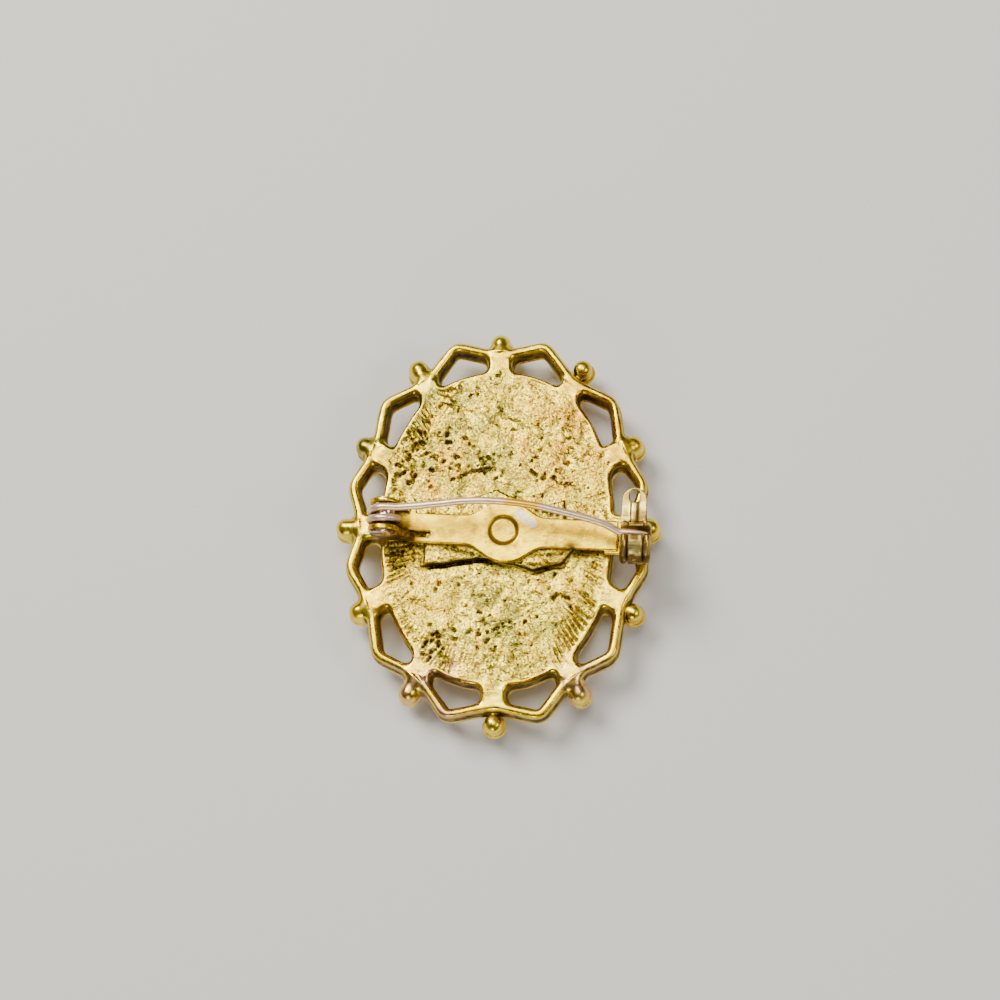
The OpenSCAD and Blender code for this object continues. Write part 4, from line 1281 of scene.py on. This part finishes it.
# %% Note the groove and set the bar askew


def note_groove(piece):
    points, _ = read_mesh(piece)
    groove = np.exp(-(off_ring(points[:, 0], points[:, 1]) / RING_HALF) ** 2)
    write_notes(piece, groove=groove * (np.abs(points[:, 2] - BAR_TOP) < 0.3))


def set_askew(piece):
    """Moves a piece's points from the bar's ways to the brooch's."""
    place = Matrix.Translation((*BAR_PLACE * MM, 0))
    piece.data.transform(place @ Matrix.Rotation(BAR_SKEW, 4, "Z"))


note_groove(stamped_bar)
set_askew(stamped_bar)
print("the bar is askew by", round(float(np.degrees(BAR_SKEW)), 1), "degrees")

# %% [markdown]
# ## The turning catch
# Two round flanges joined by a collar turn inside the bar's hook. A tab with an oval hole gives
# the thumb a hold, and a rolled rib down its middle stiffens it. It is made as the bar is, on a
# finer grid, because it is the smallest piece with folded edges.

# %% Sculpt the catch
CATCH_STEP = 0.06
CATCH_LOW = np.array([10.8, -3.6, 6.0])
CATCH_HIGH = np.array([14.6, 4.8, 11.2])
CATCH_TRIANGLES = 70000
FLANGE_R = 2.08
FLANGES = [(11.25, 12.0), (13.45, 14.2)]
COLLAR_R = (1.48, 1.68)
# The tab: its two sides along the bar, and its thickness.
TAB = (11.25, 13.7, 0.45)
TAB_START = 0.86
TAB_TIP = 4.28
TAB_ROUND = 1.225
TAB_SOFT = 0.14
HOLE = (0.45, 0.65)
HOLE_IN = 0.85
# The rib's half width and height, and where the tab's two arms start and end across the bar.
RIB = (0.3, 0.42)
ARM = (0.3, 1.4)


def tab_field(u, v, z):
    """The thumb tab with its rib and hole, and the arms that hold it to the flanges."""
    low_u, high_u, thick = TAB
    middle, round_v, hole_v = (low_u + high_u) / 2, TAB_TIP - TAB_ROUND, TAB_TIP - HOLE_IN
    straight = np.maximum(np.abs(u - middle) - TAB_ROUND, np.maximum(TAB_START - v, v - round_v))
    flat = np.minimum(np.hypot(u - middle, v - round_v) - TAB_ROUND, straight)
    tab = keep_in(flat, np.abs(z - CATCH[1]) - thick / 2, TAB_SOFT)
    rib = box_field(u, v, z, (middle - RIB[0], TAB_START, CATCH[1]),
                    (middle + RIB[0], hole_v - 0.1, CATCH[1] + RIB[1]), 0.2)
    tab = melt(tab, rib, 0.25)
    stretch = HOLE[1] - HOLE[0]
    hole = np.hypot(u - middle, np.maximum(np.abs(v - hole_v) - stretch, 0)) - HOLE[0]
    tab = cut_out(tab, hole + 0 * z, TAB_SOFT)
    for flange in FLANGES:
        arm = box_field(u, v, z, (flange[0], ARM[0], CATCH[1] - thick / 2),
                        (min(flange[1], high_u), ARM[1], CATCH[1] + thick / 2), 0.1)
        tab = melt(tab, arm, 0.15)
    return tab


def catch_field(u, v, z):
    away = np.hypot(v - CATCH[0], z - CATCH[1])
    rotor = np.maximum(away - COLLAR_R[1], np.maximum(FLANGES[0][0] - u, u - FLANGES[1][1]))
    for low_u, high_u in FLANGES:
        side = np.abs(u - (low_u + high_u) / 2) - (high_u - low_u) / 2
        rotor = melt(rotor, keep_in(away - FLANGE_R, side, 0.6), 0.05)
    rotor = melt(rotor, tab_field(u, v, z), 0.15)
    rotor = cut_out(rotor, away - COLLAR_R[0], CUT_ROLL)
    return cut_out(rotor, mouth_field(u, v, z, (10, 15), 0.03), CUT_ROLL)


u, v, z = grid(CATCH_LOW, CATCH_HIGH, CATCH_STEP)
turning_catch = sculpt("turning_catch", catch_field(u, v, z), CATCH_LOW, CATCH_STEP, CATCH_TRIANGLES,
                       catch_brass, "rotor", ["catch_rotor"])
set_askew(turning_catch)

# %% [markdown]
# ## The pin stem
# The wire is nickel plated, faintly pink, with brown dirt and painted shade between the turns of its
# coil. On the top of its bow a yellow patch is painted as the reflection of the bar's gold.

# %% The stem's finish
NICKEL = (1.0, 0.76, 0.50, 1)
PINK_NICKEL = (0.96, 0.64, 0.40, 1)
NICKEL_STAIN = (0.45, 0.33, 0.22, 1)
GOLD_REFLECTION = (0.96, 0.54, 0.03, 1)
COIL_SHADE_AND_DIRT = (0.14, 0.07, 0.03, 1)
COIL_SPOT = (-10.5, -0.9, 8.7)
REFLECTION_SPOT = (2.8, 0.9, 10.9)
SPOT_REACH = (1.2, 2.4)


def spring_nickel():
    m, shader = new_finish("spring_nickel")
    base = tint(m, lumps(m, 1.2, 0.4, 0.7), NICKEL, PINK_NICKEL)
    stain = lumps(m, 0.5, 0.60, 0.75, detail=4.0, shift=6)
    base = tint(m, times(m, stain, 0.5), base, NICKEL_STAIN)
    # A painted reflection of the bar's gold on the top of the bow.
    base = tint(m, near(m, REFLECTION_SPOT, *SPOT_REACH), base, GOLD_REFLECTION)
    # Painted shade with dirt between the coil's turns.
    torn = lumps(m, 0.5, 0.34, 0.56, detail=4.0, shift=10)
    coil = times(m, near(m, COIL_SPOT, *SPOT_REACH), torn)
    base = tint(m, times(m, coil, 0.9), base, COIL_SHADE_AND_DIRT)
    link(m, base, shader, "Base Color")
    set_all_over(shader, Metallic=0.8)
    link(m, lumps(m, 0.4, 0.3, 0.7, 0.30, 0.42, detail=3.0), shader, "Roughness")
    bumps(m, shader, grain(m, 0.3, 3.0, stretch=(0.3, 1, 1)), 0.008)
    return m


nickel = spring_nickel()
print("nodes in the stem's finish:", len(nickel.node_tree.nodes))

# %% [markdown]
# The stem is one spring wire: a turn and a half round the rivet, then a long bow to the catch
# and a ground point. A tube along a path suits it best: rings of points, set square to the
# path, each with its own radius. The coil follows a formula, and the bow a curve through a few
# points, given as shares of the straight way to the catch and of the bow's reach.


# %% Bend the stem
WIRE_R = 0.35
WIRE_SIDES = 20
COIL_R = 1.40
STEM_V = 0.95
SECOND_V = -0.14
STEM_END = (11.25, -0.27, 9.08)
BOW_SIDE = 1.5
BOW_UP = 1.03
POINT_LENGTH = 2.6
BOW = [(0.06, 0.06), (0.09, 0.12), (0.15, 0.26), (0.20, 0.40), (0.25, 0.53), (0.32, 0.74), (0.40, 0.90),
       (0.47, 0.98), (0.55, 1.0), (0.63, 0.97), (0.70, 0.87), (0.80, 0.68), (0.88, 0.51), (0.94, 0.32),
       (0.98, 0.09)]
POINT = [(0.0, 1.0), (0.35, 1.0), (0.6, 0.82), (0.82, 0.5), (0.95, 0.22), (1.0, 0.08)]


def smooth_through(points, per_span):
    """A curve through all the points, with extra ones between them."""
    p = np.vstack([2 * points[0] - points[1], points, 2 * points[-1] - points[-2]])
    curve = []
    for i in range(1, len(p) - 2):
        for t in np.arange(per_span) / per_span:
            curve.append(0.5 * (2 * p[i] + (p[i + 1] - p[i - 1]) * t
                                + (2 * p[i - 1] - 5 * p[i] + 4 * p[i + 1] - p[i + 2]) * t ** 2
                                + (3 * p[i] - p[i - 1] - 3 * p[i + 1] + p[i + 2]) * t ** 3))
    return np.array(curve + [p[-2]])


def tube(path, radii, sides):
    """Points and quads of a round tube along a path, closed by small end rings."""
    path, radii = np.asarray(path), np.asarray(radii)
    way = np.gradient(path, axis=0)
    way /= np.linalg.norm(way, axis=1)[:, None]
    side = np.cross(way[0], (0, 0, 1.0))
    side /= np.linalg.norm(side)
    rings = []
    for p, d, r in zip(path, way, radii):
        side = side - d * (side @ d)
        side /= np.linalg.norm(side)
        turns = np.arange(sides) * 2 * np.pi / sides
        rings.append(p + r * (np.outer(np.cos(turns), side) + np.outer(np.sin(turns), np.cross(d, side))))
    points = np.concatenate([[path[0]], *rings, [path[-1]]])
    quads = []
    for i in range(len(path) - 1):
        for j in range(sides):
            a, b = 1 + i * sides + j, 1 + i * sides + (j + 1) % sides
            quads.append((a, b, b + sides, a + sides))
    last = 1 + (len(path) - 1) * sides
    caps = [(0, 1 + (j + 1) % sides, 1 + j) for j in range(sides)]
    caps += [(len(points) - 1, last + j, last + (j + 1) % sides) for j in range(sides)]
    return points, quads, caps


def stem_path():
    """The coil from its cut end to the top, and the bow from there to the point."""
    coil = []
    for angle in np.radians(np.arange(-180, 361, 9)):
        share = np.clip(np.degrees(angle) / 360, 0, 1)
        across = SECOND_V + (STEM_V - SECOND_V) * share
        coil.append((HINGE[0] + COIL_R * np.sin(angle), across, HINGE[1] + COIL_R * np.cos(angle)))
    coil = np.array(coil)
    start = np.array((HINGE[0], STEM_V, HINGE[1] + COIL_R))
    end = np.array(STEM_END)
    rows = [start + (1.0, 0, 0)]
    rows += [start + (end - start) * b[0] + np.array((0, BOW_SIDE, BOW_UP)) * b[1] for b in BOW]
    rows += [end + (POINT_LENGTH * p[0], 0, 0) for p in POINT]
    radii = [WIRE_R] * (1 + len(BOW)) + [WIRE_R * p[1] for p in POINT]
    bow = smooth_through(np.array(rows), 5)
    bow_radii = np.interp(np.linspace(0, len(radii) - 1, len(bow)), np.arange(len(radii)), radii)
    return np.concatenate([coil, bow]), np.concatenate([[WIRE_R] * len(coil), bow_radii])


def split_quads(quads, caps):
    """Quads and triangles as triangles alone."""
    faces = [(a, b, c) for a, b, c, _ in quads] + [(a, c, d) for a, _, c, d in quads]
    return faces + list(caps)


path, radii = stem_path()
points, quads, caps = tube(path, radii, WIRE_SIDES)
stem_wire = make_piece("stem_wire", to_brooch(points), split_quads(quads, caps), nickel,
                       "stem", ["pin_stem"])
length = np.linalg.norm(np.diff(path, axis=0), axis=1).sum()
print("wire length, mm:", round(length, 1), "triangles:", len(stem_wire.data.polygons))

# %% [markdown]
# ## The rivet
# The rivet holds the coil between the cheeks. It is plated steel, bright where its head stands up
# and painted brown below, as the shade that falls there. Height alone tells the two apart.

# %% The rivet's finish
RIVET_BRIGHT = (0.90, 0.66, 0.50, 1)
RIVET_BROWN = (0.16, 0.09, 0.05, 1)
SHADE_HEIGHTS = (9.9, 8.9)


def rivet_metal():
    """Plated steel, brown in patches where the plating has gone, and painted brown below as shade."""
    m, shader = new_finish("rivet_metal")
    height = add(m, "SeparateXYZ", {0: own_place(m)}).outputs["Z"]
    # Painted shade below the head, and brown patches from noise.
    shade_and_stain = between(m, height, SHADE_HEIGHTS[0] * MM, SHADE_HEIGHTS[1] * MM)
    shade_and_stain = larger(m, shade_and_stain, lumps(m, 0.8, 0.46, 0.62, detail=4.0, shift=2))
    link(m, tint(m, shade_and_stain, RIVET_BRIGHT, RIVET_BROWN), shader, "Base Color")
    set_all_over(shader, Metallic=1.0)
    link(m, between(m, shade_and_stain, 0.0, 1.0, 0.20, 0.42), shader, "Roughness")
    bumps(m, shader, grain(m, 0.3, 3.0), 0.01)
    return m


plated_steel = rivet_metal()
print("nodes in the rivet's finish:", len(plated_steel.node_tree.nodes))

# %% [markdown]
# The rivet is a headed pin through both cheeks, spread at its far end. It is turned on its axis,
# so its half section, swept all round, gives it.

# %% Turn the rivet
RIVET_SIDES = 64
# The half section: distance from the axis, and place along it.
RIVET_SECTION = [(0.0, -1.66), (0.62, -1.66), (0.95, -1.60), (1.25, -1.50), (1.42, -1.38), (1.45, -1.28),
                 (1.40, -1.262), (0.97, -1.26), (0.97, 1.94), (1.10, 1.94), (1.16, 1.98), (1.13, 2.06),
                 (0.95, 2.12), (0.55, 2.14), (0.0, 2.14)]


def turned(section, sides):
    """Points and triangles of a section (radius, height) swept round its axis."""
    rows = section[1:-1]
    angles = np.arange(sides) * 2 * np.pi / sides
    points = [(0, 0, section[0][1])]
    points += [(r * np.cos(a), r * np.sin(a), h) for r, h in rows for a in angles]
    points += [(0, 0, section[-1][1])]
    faces = []
    for j in range(sides):
        k = (j + 1) % sides
        faces.append((0, 1 + k, 1 + j))
        for i in range(len(rows) - 1):
            a, b = 1 + i * sides + j, 1 + i * sides + k
            faces += [(a, b, b + sides), (a, b + sides, a + sides)]
        last = 1 + (len(rows) - 1) * sides
        faces.append((len(points) - 1, last + j, last + k))
    return np.array(points, float), faces


points, faces = turned(RIVET_SECTION, RIVET_SIDES)
lying = np.stack([points[:, 0] + HINGE[0], points[:, 2], HINGE[1] - points[:, 1]], axis=1)
rivet_pin = make_piece("rivet_pin", to_brooch(lying), faces, plated_steel,
                       "brooch", ["hinge_rivet"])
print("rivet triangles:", len(rivet_pin.data.polygons))

# %% [markdown]
# ## The cameo
# The cameo faces the table. It is moulded resin in two colours, an ivory relief on a warm
# orange-brown oval, and the folds of the relief are painted darker. Two notes on the mesh, `carved`
# and `fold`, tell the finish which is which.

# %% The cameo's finish
IVORY = (0.86, 0.80, 0.68, 1)
WARM_IVORY = (0.78, 0.70, 0.56, 1)
FOLD_BROWN = (0.60, 0.46, 0.32, 1)
ORANGE_BROWN = (0.52, 0.21, 0.10, 1)
DEEP_BROWN = (0.42, 0.15, 0.07, 1)


def cameo_resin():
    m, shader = new_finish("cameo_resin")
    ivory = tint(m, lumps(m, 1.5, 0.35, 0.7, detail=3.0), IVORY, WARM_IVORY)
    ivory = tint(m, between(m, noted(m, "fold"), 0.2, 1.0), ivory, FOLD_BROWN)
    ground = tint(m, lumps(m, 2.6, 0.35, 0.7, shift=4), ORANGE_BROWN, DEEP_BROWN)
    link(m, tint(m, noted(m, "carved"), ground, ivory), shader, "Base Color")
    link(m, lumps(m, 0.9, 0.3, 0.7, 0.28, 0.40), shader, "Roughness")
    set_all_over(shader, Subsurface_Weight=0.12, Subsurface_Radius=(0.0012, 0.0008, 0.0005))
    bumps(m, shader, grain(m, 0.5, 3.0), 0.01)
    return m


resin = cameo_resin()
print("nodes in the cameo's finish:", len(resin.node_tree.nodes))

# %% [markdown]
# The relief is a height over the oval, here a rose with leaves. So a net of rings and spokes
# carries it: more of them than the solid has, with finer petals and veins on them. Whatever
# stands highest at a point is what shows there, as in real carving.

# %% Carve the cameo
CAMEO = (9.85, 14.35)
CAMEO_BACK = 4.05
RELIEF = 0.8
DOME = 1.3
DOME_CURVE = 2.4
ROSE_R = 5.2
LEAF = (5.6, 3.0)
# A row for each whorl of petals: size, how many, turn, height of its rim, depth of its dish.
PETALS = [(1.0, 6, 0, 0.25, 0.60), (0.80, 5, 18, 0.0, 0.60), (0.60, 5, 54, 0.0, 0.60),
          (0.41, 4, 15, 0.0, 0.55), (0.22, 3, 42, 0.0, 0.35)]
# A row for each leaf: its direction, and where its root is as a share of the rose's radius.
LEAVES = [(58, 0.62), (122, 0.62), (238, 0.62), (302, 0.62), (90, 0.72), (270, 0.72)]
SPOKES = 300
RINGS = 130
PLAIN_RIM = 0.93


def leaf_layer(x, y, direction, root, ground):
    """One leaf's height and folds: veined, with a sawn edge."""
    d = np.array([np.cos(np.radians(direction)), np.sin(np.radians(direction))])
    qx, qy = x - d[0] * ROSE_R * root, y - d[1] * ROSE_R * root
    t, w = (qx * d[0] + qy * d[1]) / LEAF[0], qx * d[1] - qy * d[0]
    half = LEAF[1] / 2 * np.clip(np.sin(np.pi * np.clip(t, 0, 1)), 1e-6, 1) ** 0.8
    share = np.clip(np.abs(w) / half, 0, 1)
    saw = (t * 9 - np.abs(w) * 1.3) % 1
    rise = RELIEF * 0.7 * (1 - share ** 3) - 0.08 * np.exp(-(w / 0.12) ** 2) - 0.05 * saw * (share < 0.95)
    leaf = np.where((t > 0) & (t < 1) & (share < 1), ground - np.maximum(rise, 0), ground)
    return leaf, 0.35 * share + 0.3 * saw


def petal_layer(r, angle, size, count, turn, rim, dish):
    """A whorl of petals: its height, its folds and where it lies."""
    swing = np.abs(np.cos(np.radians(count / 2 * (angle - turn))))
    share = r / (ROSE_R * size * (1 - 0.14 * (1 - np.sqrt(swing))))
    petal = RELIEF * (rim + dish * (1 - np.clip(share, 0, 1) ** DOME_CURVE))
    petal = petal + 0.03 * np.cos(np.radians(count * 4 * (angle - turn))) * np.clip(share, 0, 1) ** 2
    fold = np.clip(1 - share, 0, 1) * 1.4 + 0.6 * (1 - swing) ** 6
    return np.maximum(petal, 0), fold, share < 1


def cameo_heights(x, y, ground):
    """The carved face's height and how deep in a fold each point lies."""
    r, angle = np.hypot(x, y), np.degrees(np.arctan2(y, x))
    face, fold = ground.copy(), np.zeros_like(ground)
    for direction, root in LEAVES:
        leaf, leaf_fold = leaf_layer(x, y, direction, root, ground)
        fold = np.where(leaf < face, leaf_fold, fold)
        face = np.minimum(face, leaf)
    for whorl in PETALS:
        petal, petal_fold, inside = petal_layer(r, angle, *whorl)
        over = inside & (petal < face)
        fold = np.where(over, petal_fold, fold)
        face = np.where(over, petal, face)
    return np.maximum(face, 0), np.clip(fold, 0, 1)


def carve_cameo():
    turns = np.arange(SPOKES) * 2 * np.pi / SPOKES
    reach = np.prod(CAMEO) / np.hypot(CAMEO[1] * np.cos(turns), CAMEO[0] * np.sin(turns))
    share = np.linspace(0, 1, RINGS + 1)[1:, None] ** 0.9
    x = share * reach * np.cos(turns)
    y = share * reach * np.sin(turns)
    ground = RELIEF + DOME * share ** DOME_CURVE + 0 * x
    face, fold = cameo_heights(x, y, ground)
    plain = (share > PLAIN_RIM) | (face > ground)
    face = np.where(plain, ground, face)
    carved = np.clip((ground - face) / 0.10, 0, 1)
    front = np.stack([x, y, face], axis=2).reshape(-1, 3)
    side = np.stack([x[-1], y[-1], np.full(SPOKES, CAMEO_BACK)], axis=1)
    points = np.vstack([front, side, [(0, 0, RELIEF * 0.35), (0, 0, CAMEO_BACK)]])
    faces = []
    for i in range(RINGS):
        for j in range(SPOKES):
            a, b = i * SPOKES + j, i * SPOKES + (j + 1) % SPOKES
            faces += [(a, a + SPOKES, b + SPOKES), (a, b + SPOKES, b)]
    tip, back = len(points) - 2, len(points) - 1
    for j in range(SPOKES):
        faces.append((tip, j, (j + 1) % SPOKES))
        faces.append((back, RINGS * SPOKES + (j + 1) % SPOKES, RINGS * SPOKES + j))
    piece = make_piece("carved_cameo", points, np.array(faces)[:, ::-1], resin,
                       "brooch", ["cameo"])
    write_notes(piece, carved=np.append(carved.ravel(), [0] * SPOKES + [1, 0]),
                fold=np.append(fold.ravel(), [0] * SPOKES + [0.5, 0]))
    return piece


carved_cameo = carve_cameo()
print("cameo triangles:", len(carved_cameo.data.polygons))
